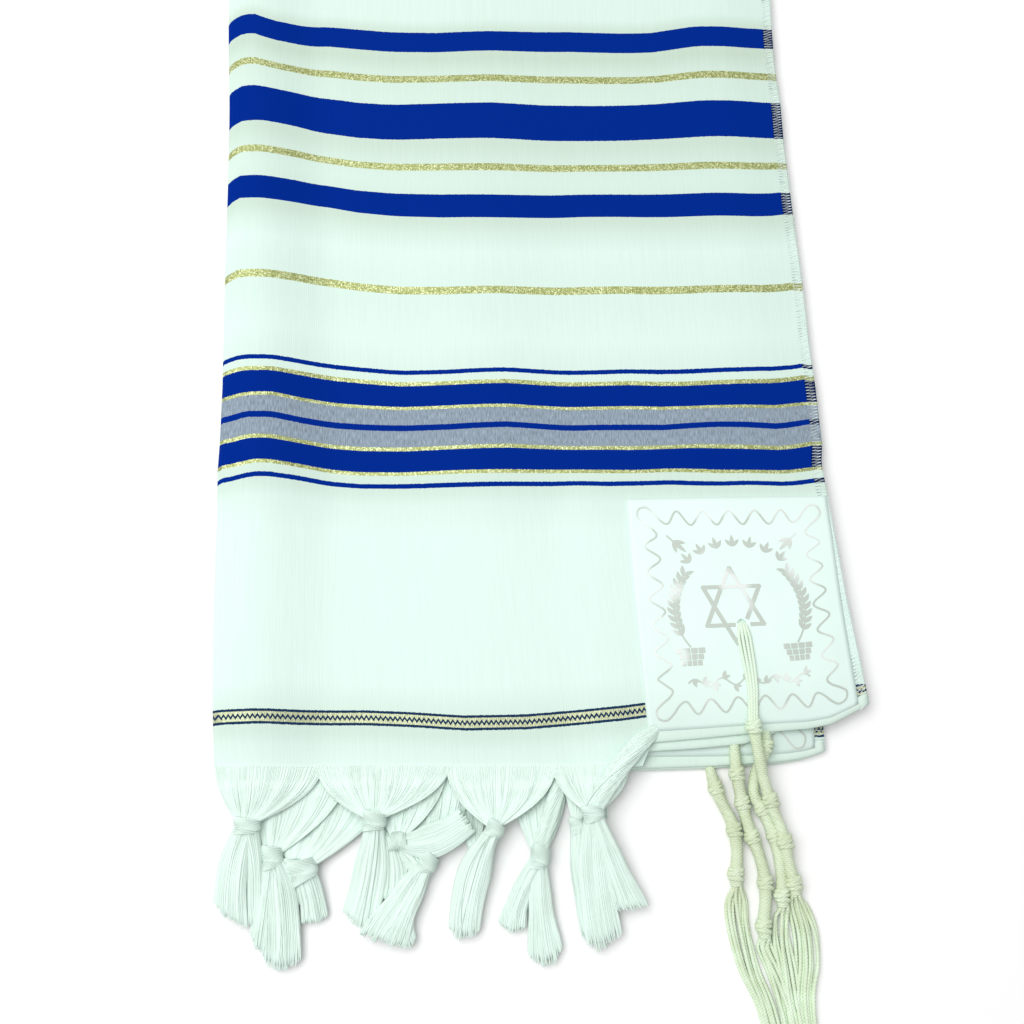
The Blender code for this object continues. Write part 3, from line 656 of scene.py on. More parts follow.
def walk(rows, first, second):
    """Edge points of the rows with the directions inward and up, every half stitch."""
    edge = [Vector(row[first]) for row in rows]
    inner = [Vector(row[second]) for row in rows]
    places, left_over = [], 0.0
    for start, end, inside in zip(edge, edge[1:], inner):
        run = end - start
        inward = (inside - start).normalized()
        up = inward.cross(run.normalized())
        along_run = left_over
        while along_run < run.length:
            places.append((start + run * (along_run / run.length), inward, up))
            along_run += STITCH_PITCH / 2
        left_over = along_run - run.length
    return places


def overlock(name, places, finish):
    """A leaning stitch for each pitch on both faces, and a thread that sways along the edge."""
    height = CLOTH_THICKNESS / 2 + STITCH_LIFT
    faces = {1: [], -1: []}
    rim = []
    for index, (edge, inward, up) in enumerate(places):
        rim.append(tuple(edge - inward * RIM_OUT + up * (RIM_SWAY if index % 2 else -RIM_SWAY)))
        for face in (1, -1):
            if index % 2:
                over = edge + inward * STITCH_TURN + up * (height * face)
                faces[face] += [tuple(over), tuple(edge - inward * STITCH_OUT), tuple(over)]
            else:
                inner = edge + inward * STITCH_WIDTH - up.cross(inward) * STITCH_PITCH / 2
                faces[face].append(tuple(inner + up * (height * face)))
    return lay_threads(name, [faces[1], faces[-1], rim], STITCH_RADIUS, finish)


stitch_thread = yarn_finish("white sewing thread", YARN_WHITE, YARN_WHITE_SHADE, 0.8, 0.1)
right_edge_stitches = overlock("overlock_right", walk(cloth_rows, 0, 3), stitch_thread)
left_edge_stitches = overlock("overlock_left", walk(cloth_rows, -1, -4), stitch_thread)
for stitches in (right_edge_stitches, left_edge_stitches):
    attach(stitches, "root")


# ---- The corner hems: right of the fringe each corner's near edge is turned under and sewn,
# so it ends in a soft double edge. Each hem is a strip of the cloth wrapped round the edge.
HEM_START = 184.5
HEM_END = FOLDED_WIDTH - 0.4
HEM_STEPS = 44
HEM_THICKNESS = 0.4
HEM_PUFF = 0.05
HEM_WHITE = (0.66, 0.80, 0.72, 1)
HEM_SHADE = (0.63, 0.765, 0.69, 1)
HEM_SECTION = (               # distance in from the edge, height over the cloth's middle
    (4.8, 0.16), (3.4, 0.34), (1.4, 0.42), (0.0, 0.32), (-0.25, 0.0),
    (0.0, -0.32), (1.0, -0.42), (2.6, -0.42), (4.6, -0.38),
)


def corner_hem(name, layer):
    rows = []
    for step in range(HEM_STEPS + 1):
        across = mix(HEM_START, HEM_END, step / HEM_STEPS)
        x, y, z = cloth_point(layer, across, 0.0)
        puff = 1 + HEM_PUFF * sin(step * 0.5 + layer)
        rows.append([
            (x, y + inside, cloth_height(layer, x, y + inside) + height * puff)
            for inside, height in HEM_SECTION
        ])
    hem = shaped_grid(name, rows)
    thicken(hem, HEM_THICKNESS)
    smooth(hem)
    cover(hem, hem_cloth)
    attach(hem, "root")
    return hem


def plain_cloth():
    """The same white weave on Object coordinates."""
    material, tree, shader = new_finish("plain hem cloth")
    here = own_place(tree)
    drawn_out = add_node(tree, "ShaderNodeMapping", {0: here, 3: (900.0, 60.0, 900.0)}).outputs[0]
    streaks = noise(tree, drawn_out, 1.0, 3.0, 0.6)
    colour = mottled(tree, streaks, 2.2, -0.75, HEM_WHITE, HEM_SHADE)
    tree.links.new(colour, shader.inputs["Base Color"])
    set_inputs(shader, {"Roughness": 0.82, "Specular IOR Level": 0.12, "Sheen Weight": 0.06})
    bump(tree, shader, noise(tree, here, 1500.0, 2.0), 0.2, 0.0002)
    return material


hem_cloth = plain_cloth()
hems = [corner_hem(f"corner_hem_{layer}", layer) for layer in (1, 2, 3, 4)]


# ---- The satin corner patches: a square of white satin sewn on each corner to carry the weight
# of its tzitzit, with a pierced eyelet. It is soft, so it puffs a little inside its sewn rim and
# puckers along it. The first shows whole, the third by its near margin, the others are covered.
PATCH_ACROSS = ((183.9, 275.2), (187.1, 279.3))   # left and right side, at its near and far end
PATCH_UP = ((4.6, 114.0), (2.2, 110.7))           # near and far end, at its left and right side
PATCH_CELLS = (46, 54)
PATCH_THICKNESS = 0.4
PATCH_RISE = 0.53             # of its middle over the cloth's middle, at the sewn rim
PATCH_PUFF = 0.34             # more inside
PUFF_REACH = 9.0              # in from the rim
PUFF_SWELL = 0.25             # of the puff, more and less from place to place
PUCKER = 0.04                 # along the rim
PUCKER_REACH = 2.2
EYELET = (45.2, 46.0)         # from the patch's near left corner
EYELET_RADIUS = 1.9
EYELET_DEPTH = 2.5
PATCH_SIZE = (90.0, 106.0)    # of the plan that its ornament is drawn on
SATIN_WHITE = (0.75, 0.905, 0.85, 1)
SATIN_SHADE = (0.715, 0.87, 0.81, 1)
SATIN_START = FOLDED_LENGTH / 2       # from the near end of the folded plan
SATIN_SPAN = 120.0            # over which the painted light and shade below run
# painted light and shade along the patch: darker at its near edge, lighter over its middle
SATIN_PAINTED_LIGHT_AND_SHADE = (
    (0.0, 0.87), (0.07, 0.87), (0.11, 0.93), (0.18, 0.95), (0.25, 0.985), (0.35, 1.0),
    (0.45, 1.02), (0.80, 1.03), (1.0, 0.99),
)


def patch_surface(layer, a, b, raised=0.0):
    """A point over a corner's patch: a and b are mm from its near left corner."""
    s, t = a / PATCH_SIZE[0], b / PATCH_SIZE[1]
    (low_left, high_left), (low_right, high_right) = PATCH_UP
    up = mix(mix(low_left, low_right, s), mix(high_left, high_right, s), t)
    across = mix(mix(*PATCH_ACROSS[0], s), mix(*PATCH_ACROSS[1], s), t)
    x, y, z = cloth_point(layer, across, up)
    rim = min(a, PATCH_SIZE[0] - a, b, PATCH_SIZE[1] - b)
    swell = 1 + PUFF_SWELL * sin(a * 0.21 + layer) * cos(b * 0.17)
    puff = ease(rim / PUFF_REACH) * swell
    pucker = PUCKER * sin(0.8 * (a + b) + layer) * exp(-rim / PUCKER_REACH)
    rise = PATCH_RISE + PATCH_PUFF * puff + pucker + raised
    return x, y, z + rise * (1 if layer in (1, 3) else -1)


def satin():
    material, tree, shader = new_finish("white satin")
    here = own_place(tree)
    grain = add_node(tree, "ShaderNodeMapping", {0: here, 3: (1500.0, 160.0, 1500.0)}).outputs[0]
    fine = noise(tree, grain, 1.0, 2.0)
    broad = noise(tree, here, 38.0, 2.0)
    places = add_node(tree, "ShaderNodeSeparateXYZ", {0: here})
    up = calc(tree, "MULTIPLY_ADD", places.outputs[1], 1000 / SATIN_SPAN, SATIN_START / SATIN_SPAN)
    # painted light and shade along the patch, multiplied into the satin
    painted_light_and_shade = ramp(tree, up, [(place, (light_level, light_level, light_level, 1)) for place, light_level in SATIN_PAINTED_LIGHT_AND_SHADE])
    colour = mottled(tree, broad, 2.4, -0.7, SATIN_WHITE, SATIN_SHADE)
    colour = blend_colour(tree, 1.0, colour, painted_light_and_shade, "MULTIPLY")
    tree.links.new(colour, shader.inputs["Base Color"])
    tree.links.new(calc(tree, "MULTIPLY_ADD", fine, 0.2, 0.38), shader.inputs["Roughness"])
    set_inputs(shader, {"Specular IOR Level": 0.3, "Anisotropic": 0.4})
    bump(tree, shader, calc(tree, "MULTIPLY_ADD", fine, 0.3, broad), 0.25, 0.0004)
    return material


def satin_patch(layer):
    across, down = PATCH_CELLS
    rows = []
    for j in range(down + 1):
        b = PATCH_SIZE[1] * j / down
        rows.append([
            patch_surface(layer, PATCH_SIZE[0] * i / across, b) for i in range(across + 1)
        ])
    patch = shaped_grid(f"satin_patch_{layer}", rows)
    thicken(patch, PATCH_THICKNESS)
    smooth(patch)
    cover(patch, patch_satin)
    place = patch_surface(layer, *EYELET)
    drill = primitive(
        "drill", bpy.ops.mesh.primitive_cylinder_add, vertices=24,
        radius=EYELET_RADIUS * 0.001, depth=EYELET_DEPTH * 0.001, location=plan(*place),
    )
    hole = patch.modifiers.new("eyelet", "BOOLEAN")
    hole.operation = "DIFFERENCE"
    hole.solver = "EXACT"
    hole.object = drill
    finish_modifiers(patch)
    bpy.data.objects.remove(drill)
    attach(patch, "root")
    return patch


patch_satin = satin()
patches = {layer: satin_patch(layer) for layer in (1, 2, 3, 4)}
for layer in (1, 3, 4):
    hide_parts(f"corner_patch_{layer}")


# ---- The patches' ornament: silver thread woven flat into the satin. It has a waved line all
# round, a six-pointed star over the eyelet, a basket with a leafy branch on each side, an arch of
# leaves above and a vine below. Lines and leaves are cut flat, laid on and given a wall.
WAVE_INSET = 9.5
WAVE_HEIGHT = 3.2
WAVE_START = 6.6              # from the corner, past its loop
WAVES = (5, 6)                # along a near or far side, and along a left or right side
CORNER_LOOP = (               # in from the corner on its diagonal, and out to each side
    (7.4, 4.2), (4.4, 2.7), (-0.6, 3.2), (-4.4, 2.9), (-6.2, 0.0),
)
LINE_WIDTH = 0.85
ROUND_STEPS = 7               # points from bend to bend
STEM_WIDTH = 0.7              # of the branches and the vine
LEAF_CUTS = 5
STAR_MIDDLE = (42.4, 54.6)
STAR_RADII = (14.2, 18.0)     # across and up
STAR_LINE = 1.8
WREATH_MIDDLE = (45, 53)      # of the branches' and the arch's curves
BRANCH_RADIUS = 28.5
BRANCH_TURN = 36              # degrees below and above the middle
BRANCH_CUTS = 11
BRANCH_LEAVES = ((0.62, 5.2), (-0.62, 4.6))   # lean and length of the outer and inner leaf
BASKET_HALF = (4.6, 0.9)      # half width of its lowest row, and what each row has more
BASKET_ROWS = (3, 2.8, 2.4)   # how many, how far apart and how high
BASKET_DROP = 8.4             # below the branch's foot
BASKET_GAP = 0.45
ARCH_RADIUS = 30
ARCH_TURN = 13.5              # degrees from tuft to tuft
VINE = (19, 52, 20.0, 1.7, 4.5)   # left end, length, height up, swing and number of waves
VINE_CUTS = 48
SPRIGS = ((19, 86, -45), (71, 86, -135))      # a, b and turn
SPRIG_LEAVES = ((-0.6, 5.5), (0.0, 7.5), (0.6, 5.5))
THREAD_RISE = 0.30            # of its middle over the satin's
THREAD_WALL = 0.12
THREAD_STEP = 0.002           # between lines and leaves that cross
EYELET_CLEAR = 0.6            # of thread, round the eyelet
LOW_ORNAMENT = 3.0            # the lower pair's lies this much nearer its edge
SILVER_PAINTED_REFLECTION = (             # painted reflection, in patches: grey where it mirrors the dark, white where it mirrors light
    (0.0, (0.47, 0.53, 0.47, 1)), (0.52, (0.50, 0.56, 0.50, 1)),
    (0.60, (0.80, 0.84, 0.82, 1)), (1.0, (0.86, 0.88, 0.88, 1)),
)
SILVER_GREY = (0.60, 0.66, 0.60, 1)


def silver_thread():
    material, tree, shader = new_finish("silver jacquard thread")
    here = own_place(tree)
    # painted reflection in patches, mixed with the thread's own grey by fine noise
    painted_reflection = ramp(tree, noise(tree, here, 42.0, 1.0), SILVER_PAINTED_REFLECTION)
    fine = noise(tree, here, 1400.0, 2.0)
    colour = mottled(tree, fine, 0.6, -0.1, painted_reflection, SILVER_GREY)
    tree.links.new(colour, shader.inputs["Base Color"])
    set_inputs(shader, {"Roughness": 0.42, "Metallic": 0.1})
    bump(tree, shader, fine, 0.3, 0.0001)
    return material


def strip(sides):
    """Quads between the left and right points of a line."""
    return [(l0, r0, r1, l1) for (l0, r0), (l1, r1) in zip(sides, sides[1:])]


def stroke(points, width, closed=False, step=1.2):
    """Quads of a flat line through points of the patch, cut in steps so that it can bend."""
    path = points + points[:1] if closed else list(points)
    fine = []
    for (a, b), (c, d) in zip(path, path[1:]):
        cuts = max(1, round(hypot(c - a, d - b) / step))
        fine += [(mix(a, c, k / cuts), mix(b, d, k / cuts)) for k in range(cuts)]
    fine.append(path[-1])
    sides = []
    for index, (a, b) in enumerate(fine):
        before, after = fine[max(index - 1, 0)], fine[min(index + 1, len(fine) - 1)]
        if closed and index in (0, len(fine) - 1):
            before, after = fine[-2], fine[1]
        run = Vector((after[0] - before[0], after[1] - before[1])).normalized()
        sides.append(((a - run.y * width / 2, b + run.x * width / 2),
                      (a + run.y * width / 2, b - run.x * width / 2)))
    return strip(sides)


def leaf(a, b, turn, length, width):
    """Quads of a pointed leaf that grows from a, b."""
    ahead = Vector((cos(turn), sin(turn)))
    side = Vector((-ahead.y, ahead.x))
    sides = []
    for k in range(LEAF_CUTS + 1):
        t = k / LEAF_CUTS
        half = width / 2 * sin(pi * min(0.06 + 0.94 * t, 0.985)) ** 0.8
        at = Vector((a, b)) + ahead * (length * t)
        sides.append((tuple(at + side * half), tuple(at - side * half)))
    return strip(sides)


def rounded(path, per_run):
    """Smooth points through a path of equally long rows, which may hold a radius too."""
    rows = [Vector(row) for row in path]
    rows = [rows[0] * 2 - rows[1], *rows, rows[-1] * 2 - rows[-2]]
    points = []
    for p0, p1, p2, p3 in zip(rows, rows[1:], rows[2:], rows[3:]):
        for k in range(per_run):
            t = k / per_run
            points.append(0.5 * (2 * p1 + (p2 - p0) * t + (2 * p0 - 5 * p1 + 4 * p2 - p3) * t * t
                                 + (3 * p1 - p0 - 3 * p2 + p3) * t ** 3))
    return points + [rows[-2]]


def waved_line():
    """A wave along each side, with a loop out on the diagonal at each corner."""
    width, length = (size - 2 * WAVE_INSET for size in PATCH_SIZE)
    bends = []
    for turn in range(4):
        lean = radians(90 * turn)
        ahead, out = Vector((cos(lean), sin(lean))), Vector((sin(lean), -cos(lean)))
        run, across = (width, length) if turn % 2 == 0 else (length, width)
        start = Vector(PATCH_SIZE) / 2 - ahead * run / 2 + out * across / 2
        diagonal = (ahead - out).normalized()
        beside = (ahead + out).normalized()
        bends += [start + diagonal * inside - beside * aside for inside, aside in CORNER_LOOP]
        back = CORNER_LOOP[-2::-1]
        bends += [start + diagonal * inside + beside * aside for inside, aside in back]
        count = WAVES[turn % 2] * 2
        for k in range(1, count):
            along_run = mix(WAVE_START, run - WAVE_START, k / count)
            swing = WAVE_HEIGHT if k % 2 else -WAVE_HEIGHT
            bends.append(start + ahead * along_run + out * swing)
    smooth_line = rounded(bends[-2:] + bends + bends[:2], ROUND_STEPS)
    smooth_line = smooth_line[2 * ROUND_STEPS:-2 * ROUND_STEPS]
    return stroke([tuple(point) for point in smooth_line], LINE_WIDTH, closed=True, step=1.4)


def star():
    shapes = []
    for first_turn in (90.0, 270.0):
        corners = [
            (STAR_MIDDLE[0] + STAR_RADII[0] * cos(radians(first_turn + 120 * k)),
             STAR_MIDDLE[1] + STAR_RADII[1] * sin(radians(first_turn + 120 * k)))
            for k in range(3)
        ]
        for k in range(3):
            (a, b), (c, d) = corners[k], corners[(k + 1) % 3]
            run = Vector((c - a, d - b)).normalized() * (STAR_LINE * 0.3)
            shapes += stroke([(a - run.x, b - run.y), (c + run.x, d + run.y)], STAR_LINE, step=2.2)
    return shapes


def branch(side):
    """A leafy branch that rises from its basket beside the star, to its right where side is 1."""
    middle_a, middle_b = WREATH_MIDDLE
    turns = [radians(mix(-BRANCH_TURN, BRANCH_TURN, k / BRANCH_CUTS))
             for k in range(BRANCH_CUTS + 1)]
    stem = [(middle_a + side * BRANCH_RADIUS * cos(turn), middle_b + BRANCH_RADIUS * sin(turn))
            for turn in turns]
    shapes = stroke(stem, STEM_WIDTH)
    for (a, b), turn in list(zip(stem, turns))[2:]:
        for lean, length in BRANCH_LEAVES:
            angle = turn + pi / 2 + lean
            shapes += leaf(a, b, angle if side > 0 else pi - angle, length, 1.9)
    foot_a, foot_b = stem[0]
    rows, apart, high = BASKET_ROWS
    for row in range(rows):
        half = BASKET_HALF[0] + BASKET_HALF[1] * row
        low = foot_b - BASKET_DROP + apart * row
        for column in range(4):
            left = foot_a - half + half / 2 * column
            right = left + half / 2 - BASKET_GAP
            shapes.append(((left, low + high), (right, low + high), (right, low), (left, low)))
    return shapes


def arch():
    shapes = []
    for k in range(-3, 4):
        turn = radians(90 + ARCH_TURN * k)
        a = WREATH_MIDDLE[0] + ARCH_RADIUS * cos(turn)
        b = WREATH_MIDDLE[1] + ARCH_RADIUS * sin(turn)
        for lean in (-0.75, 0.0, 0.75):
            shapes += leaf(a, b, turn + lean, 4.4 if lean else 5.4, 1.7)
    return shapes


def vine():
    left, length, middle, swing, waves = VINE
    stem = [(left + length * k / VINE_CUTS, middle + swing * sin(2 * pi * waves * k / VINE_CUTS))
            for k in range(VINE_CUTS + 1)]
    shapes = stroke(stem, STEM_WIDTH)
    for k in range(2, VINE_CUTS - 1, 4):
        a, b = stem[k]
        up = 1 if (k // 4) % 2 else -1
        shapes += leaf(a, b, up * radians(70), 3.6, 1.7) + leaf(a, b, up * radians(20), 3.2, 1.4)
    return shapes


def corner_sprigs():
    shapes = []
    for a, b, degrees in SPRIGS:
        turn = radians(degrees)
        for lean, length in SPRIG_LEAVES:
            shapes += leaf(a, b, turn + lean, length, 1.9)
        shapes += stroke([(a, b), (a - 4 * cos(turn), b - 4 * sin(turn))], STEM_WIDTH)
    return shapes


def merge_points(piece, gap, outwards=False):
    select_only(piece)
    bpy.ops.object.mode_set(mode="EDIT")
    bpy.ops.mesh.select_all(action="SELECT")
    bpy.ops.mesh.remove_doubles(threshold=gap)
    if outwards:
        bpy.ops.mesh.normals_make_consistent(inside=False)
    bpy.ops.object.mode_set(mode="OBJECT")


def lay_ornament(layer):
    """Flat quads of the patch as one mesh, moved on to the satin and thickened."""
    quads = waved_line() + star() + branch(1) + branch(-1) + arch() + vine() + corner_sprigs()
    eye_a, eye_b = EYELET
    quads = [quad for quad in quads
             if min(hypot(a - eye_a, b - eye_b) for a, b in quad) > EYELET_RADIUS + EYELET_CLEAR]
    points = [(*corner, index) for index, quad in enumerate(quads) for corner in quad]
    up = 1 if layer in (1, 3) else -1
    nearer = LOW_ORNAMENT if layer > 2 else 0.0
    mesh = bpy.data.meshes.new(f"silver_ornament_{layer}")
    mesh.from_pydata(
        [plan(*patch_surface(layer, a, b - nearer, THREAD_RISE + THREAD_STEP * (index % 7)))
         for a, b, index in points],
        [], [tuple(range(4 * k, 4 * k + 4))[::up] for k in range(len(quads))],
    )
    ornament = bpy.data.objects.new(mesh.name, mesh)
    bpy.context.scene.collection.objects.link(ornament)
    merge_points(ornament, 0.00001)
    thicken(ornament, THREAD_WALL)
    cover(ornament, ornament_thread)
    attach(ornament, "root")
    return ornament


ornament_thread = silver_thread()
ornaments = [lay_ornament(layer) for layer in (1, 2, 3, 4)]


# ---- The knotted tassels: the cloth's own warp ends, gathered from a stretch of its edge into an
# overhand knot and cut below it. Each is fine white yarn: a fan that bows down from the edge, a
# knot of wound turns, and a silky tail in one or two flat locks with uneven ends.
YARN_RADIUS = 0.27
FAN_PITCH = 0.56
FAN_CUTS = (22, 12)           # of its sheet, across and down
FAN_WALL = 0.6
FAN_TUCK = 2.6                # how far it reaches in over the cloth's edge
FAN_FOLDS = 0.32              # height of its folds
SHEET_RISE = (0.0, 0.32, 0.2, 0.08)       # of its first rows, which cover the edge
FRINGE_RISE = {(1, 0): 0.3, (1, 1): 0.62, (1, 2): 0.5}    # its warp ends come up out of the cloth
FAN_STRAY = 0.12              # share of its yarns that stray
LOCK_STRAY = 0.10             # and of a lock's
LOCK_GATHER = 0.14            # how far a lock's yarns draw together into clumps
LOCK_PITCH = 0.50
LOCK_CUTS = 14
LOCK_SIDES = 26
LOCK_THICK = (2.5, 2.0, 1.25)     # half, at the knot, at the bow and at the end
KNOT_PITCH = 0.56
KNOT_LOBES = (                # place along the knot, lean, share of its length and of its girth
    (-0.14, 0.34, 0.64, 1.0), (0.24, -0.34, 0.50, 0.94),
)
KNOT_CORE = (0.0, 0.15, 0.35, 0.5, 0.65, 0.85, 1.0)   # rings of its filled middle
YARN_LIGHT = (0.785, 0.93, 0.865, 1)
YARN_DIM = (0.735, 0.865, 0.79, 1)
TASSELS = (
    # name, layer, fan's left and right, knot x, y, z, width, length, then each lock of the tail
    ("tassel_01", 1, 0.8, 46.5, (14.6, -19.6, 8.6), 11.4, 6.6, (
        # bow x, y, end x, y, z, width at the bow and at the end, slant and rounding of its end
        (17.4, -38.0, 16.4, -60.0, 2.6, 6.5, 7.0, 0.0, 0.03),
        (8.6, -37.0, 7.6, -56.5, 4.6, 12.0, 13.6, 0.14, 0.03))),
    ("tassel_02", 2, 12, 58, (24.6, -32.6, 5.4), 9.0, 9.4, (
        (22.5, -50.0, 19.0, -69.0, 3.0, 8.0, 11.0, 0.10, 0.05),
        (28.2, -51.0, 28.6, -77.0, 3.4, 13.6, 15.0, 0.0, 0.09))),
    ("tassel_03", 3, 44, 78, (37.2, -38.4, 5.0), 12.4, 9.6, (
        (40.4, -48.2, 41.8, -59.2, 2.6, 9.8, 11.4, -0.04, 0.05),)),
    ("tassel_04", 1, 42.5, 100.5, (67.6, -20.4, 8.6), 10.0, 7.8, (
        (65.2, -41.0, 59.2, -61.5, 2.8, 13.6, 15.0, 0.06, 0.02),)),
    ("tassel_05", 2, 64, 99, (77.0, -29.0, 6.0), 8.0, 7.6, (
        (90.8, -29.8, 105.8, -22.4, 5.4, 13.5, 11.5, 0.0, -0.02),)),
    ("tassel_06", 3, 82, 110, (88.8, -38.2, 4.6), 8.6, 8.6, (
        (80.0, -54.0, 80.6, -71.0, 3.6, 5.0, 7.5, 0.0, 0.08),
        (79.6, -51.6, 69.6, -68.4, 5.2, 12.5, 20.0, -0.04, 0.04))),
    ("tassel_07", 1, 97.5, 145.5, (117.6, -26.3, 8.0), 8.0, 6.2, (
        (107.6, -45.0, 102.7, -69.0, 3.6, 13.5, 12.8, 0.0, 0.08),)),
    ("tassel_08", 3, 124, 150, (135.7, -38.4, 4.8), 8.4, 10.0, (
        (126.6, -54.0, 122.4, -66.8, 2.4, 8.0, 12.0, 0.0, 0.10),
        (135.0, -57.0, 136.4, -80.2, 2.8, 9.5, 15.5, 0.0, 0.12))),
    ("tassel_09", 1, 142.5, 176, (158.8, -22.2, 9.2), 9.4, 6.6, (
        (158.0, -45.0, 160.8, -74.4, 4.2, 13.5, 15.0, -0.03, 0.05),
        (166.2, -44.0, 172.2, -60.8, 5.0, 10.0, 14.0, 0.06, 0.02))),
    ("tassel_10", 2, 147, 160, (152.0, -26.6, 5.6), 6.6, 6.6, (
        (153.6, -47.0, 157.6, -73.0, 2.2, 10.0, 12.0, 0.0, 0.06),)),
    # under the others
    ("tassel_11", 4, 20, 56, (32.6, -36.0, 4.4), 6.6, 5.6,
     ((33.6, -43.0, 34.0, -52.0, 2.4, 6.5, 8.0, 0.0, 0.05),)),
    ("tassel_12", 4, 46, 88, (72.8, -28.0, 4.6), 5.6, 4.8,
     ((82.0, -35.0, 87.0, -44.0, 3.0, 9.0, 10.0, 0.0, 0.05),
      (74.6, -41.0, 72.6, -53.0, 3.0, 11.0, 11.0, 0.0, 0.05))),
    ("tassel_13", 4, 96, 116, (108.6, -35.0, 2.8), 4.8, 4.8,
     ((110.4, -45.0, 108.6, -52.0, 2.0, 5.0, 6.0, 0.0, 0.05),)),
    ("tassel_14", 2, 108, 126, (118.6, -14.0, 3.2), 4.8, 4.8,
     ((118.2, -20.0, 117.6, -27.0, 2.1, 5.0, 5.0, 0.0, 0.05),)),
    ("tassel_15", 3, 158, 166, (163.4, -11.0, 2.9), 4.8, 4.8,
     ((163.0, -18.0, 162.8, -25.0, 2.0, 4.0, 5.0, 0.0, 0.05),)),
    ("tassel_16", 4, 152, 166, (160.0, -24.0, 2.8), 4.8, 4.8,
     ((161.0, -34.0, 163.0, -46.0, 2.0, 5.0, 6.0, 0.0, 0.05),)),
)
STREAMS = {                   # twisted yarn that also runs into a knot: x, y, z and half width
    "tassel_08": (
        (149.0, 0.0, 1.4, 2.4), (146.4, -7.0, 2.0, 3.4), (143.2, -17.0, 4.0, 3.8),
        (139.0, -27.0, 5.4, 3.3), (136.4, -34.0, 5.2, 3.1), (135.6, -38.0, 4.8, 2.8),
    ),
    "tassel_09": (
        (188.6, 11.6, 7.6, 1.6), (184.4, 8.6, 9.8, 3.4), (177.2, 2.8, 10.8, 4.1),
        (171.0, -2.8, 11.0, 4.2), (166.0, -10.2, 10.8, 4.0), (161.0, -17.5, 10.0, 3.6),
        (159.2, -21.0, 9.2, 3.0),
    ),
}
STREAM_TURNS = 0.55
STREAM_THICK = (0.9, 3.2, 1.9)


def edge_of(layer, x):
    """Where a layer's near edge runs at a plan x."""
    return along(NEAR_EDGE, x / along(RIGHT_EDGE, 0, layer) * FOLDED_WIDTH, layer)


def bezier(stops, share):
    """A point on the curve that a few stops pull."""
    while len(stops) > 1:
        stops = [mix(a, b, share) for a, b in zip(stops, stops[1:])]
    return stops[0]


def fan_point(fan, s, t, raised=0.0):
    """A point of a fan: s runs over its width and t from the cloth's edge to the knot."""
    layer, left, right, knot, width, phase = fan
    x = mix(left, right, s)
    edge = edge_of(layer, x)
    top = cloth_height(layer, x, edge)
    aside = 2 * s - 1
    drop = edge - knot[1]
    # tucked in at the edge, bowed out over it, drawn in, and gathered in the knot's mouth
    stops = [
        Vector((x, edge + FAN_TUCK, top - 0.25)),
        Vector((mix(x, knot[0], 0.06), edge - drop * 0.50, top + 0.3 * (1 - aside * aside))),
        Vector((mix(knot[0], x, 0.44), knot[1] + drop * 0.24, mix(top, knot[2], 0.7))),
        Vector((knot[0] + aside * width * 0.31, knot[1] + 0.8,
                knot[2] + 1.5 * (1 - aside * aside) - 0.5)),
    ]
    point = bezier(stops, t)
    folds = sin(2 * pi * (right - left) / 11 * s + phase) + 0.6 * sin(2 * pi * 5.3 * s - phase)
    return point.x, point.y, point.z + FAN_FOLDS * folds * sin(pi * t) ** 2 + raised


def closed_tube(name, rings):
    """A tube through rings of plan points, closed at both ends."""
    first, last = (sum(map(Vector, ring), Vector()) / len(ring) for ring in (rings[0], rings[-1]))
    rings = [[first] * len(rings[0]), *rings, [last] * len(rings[0])]
    tube = shaped_grid(name, [[*ring, ring[0]] for ring in rings])
    merge_points(tube, 0.000002, outwards=True)
    return tube


def joined(name, pieces):
    """Makes one piece of several."""
    bpy.ops.object.select_all(action="DESELECT")
    for piece in pieces:
        piece.select_set(True)
    bpy.context.view_layer.objects.active = pieces[0]
    bpy.ops.object.join()
    pieces[0].name = pieces[0].data.name = name
    return pieces[0]


def fan_yarn(name, fan, chance):
    """A fan's sheet, and the yarns that lie on both its faces."""
    layer, left, right = fan[:3]
    across, down = FAN_CUTS
    rows = []
    for j in range(down + 1):
        rise = SHEET_RISE[j] if j < len(SHEET_RISE) else 0.0
        rows.append([fan_point(fan, i / across, j / down, rise) for i in range(across + 1)])
    sheet = shaped_grid(f"{name}_fan", rows)
    thicken(sheet, FAN_WALL)
    threads = []
    count = round((right - left) / FAN_PITCH)
    for face in (1, -1):
        for index in range(count):
            stray = chance.random() < FAN_STRAY
            s = (index + 0.5 + chance.uniform(-0.35, 0.35)) / count
            drift = chance.uniform(-0.05, 0.05) if stray else chance.uniform(-0.008, 0.008)
            lift = (FAN_WALL / 2 + (0.2 if stray else chance.uniform(-0.08, 0.05))) * face
            thread = []
            for k in range(down + 1):
                t = k / down
                along_fan = min(max(s + drift * sin(pi * t), 0.0), 1.0)
                rise = FRINGE_RISE.get((face, k), lift)
                thread.append(fan_point(fan, along_fan, t, rise))
            threads.append(thread)
    return sheet, threads


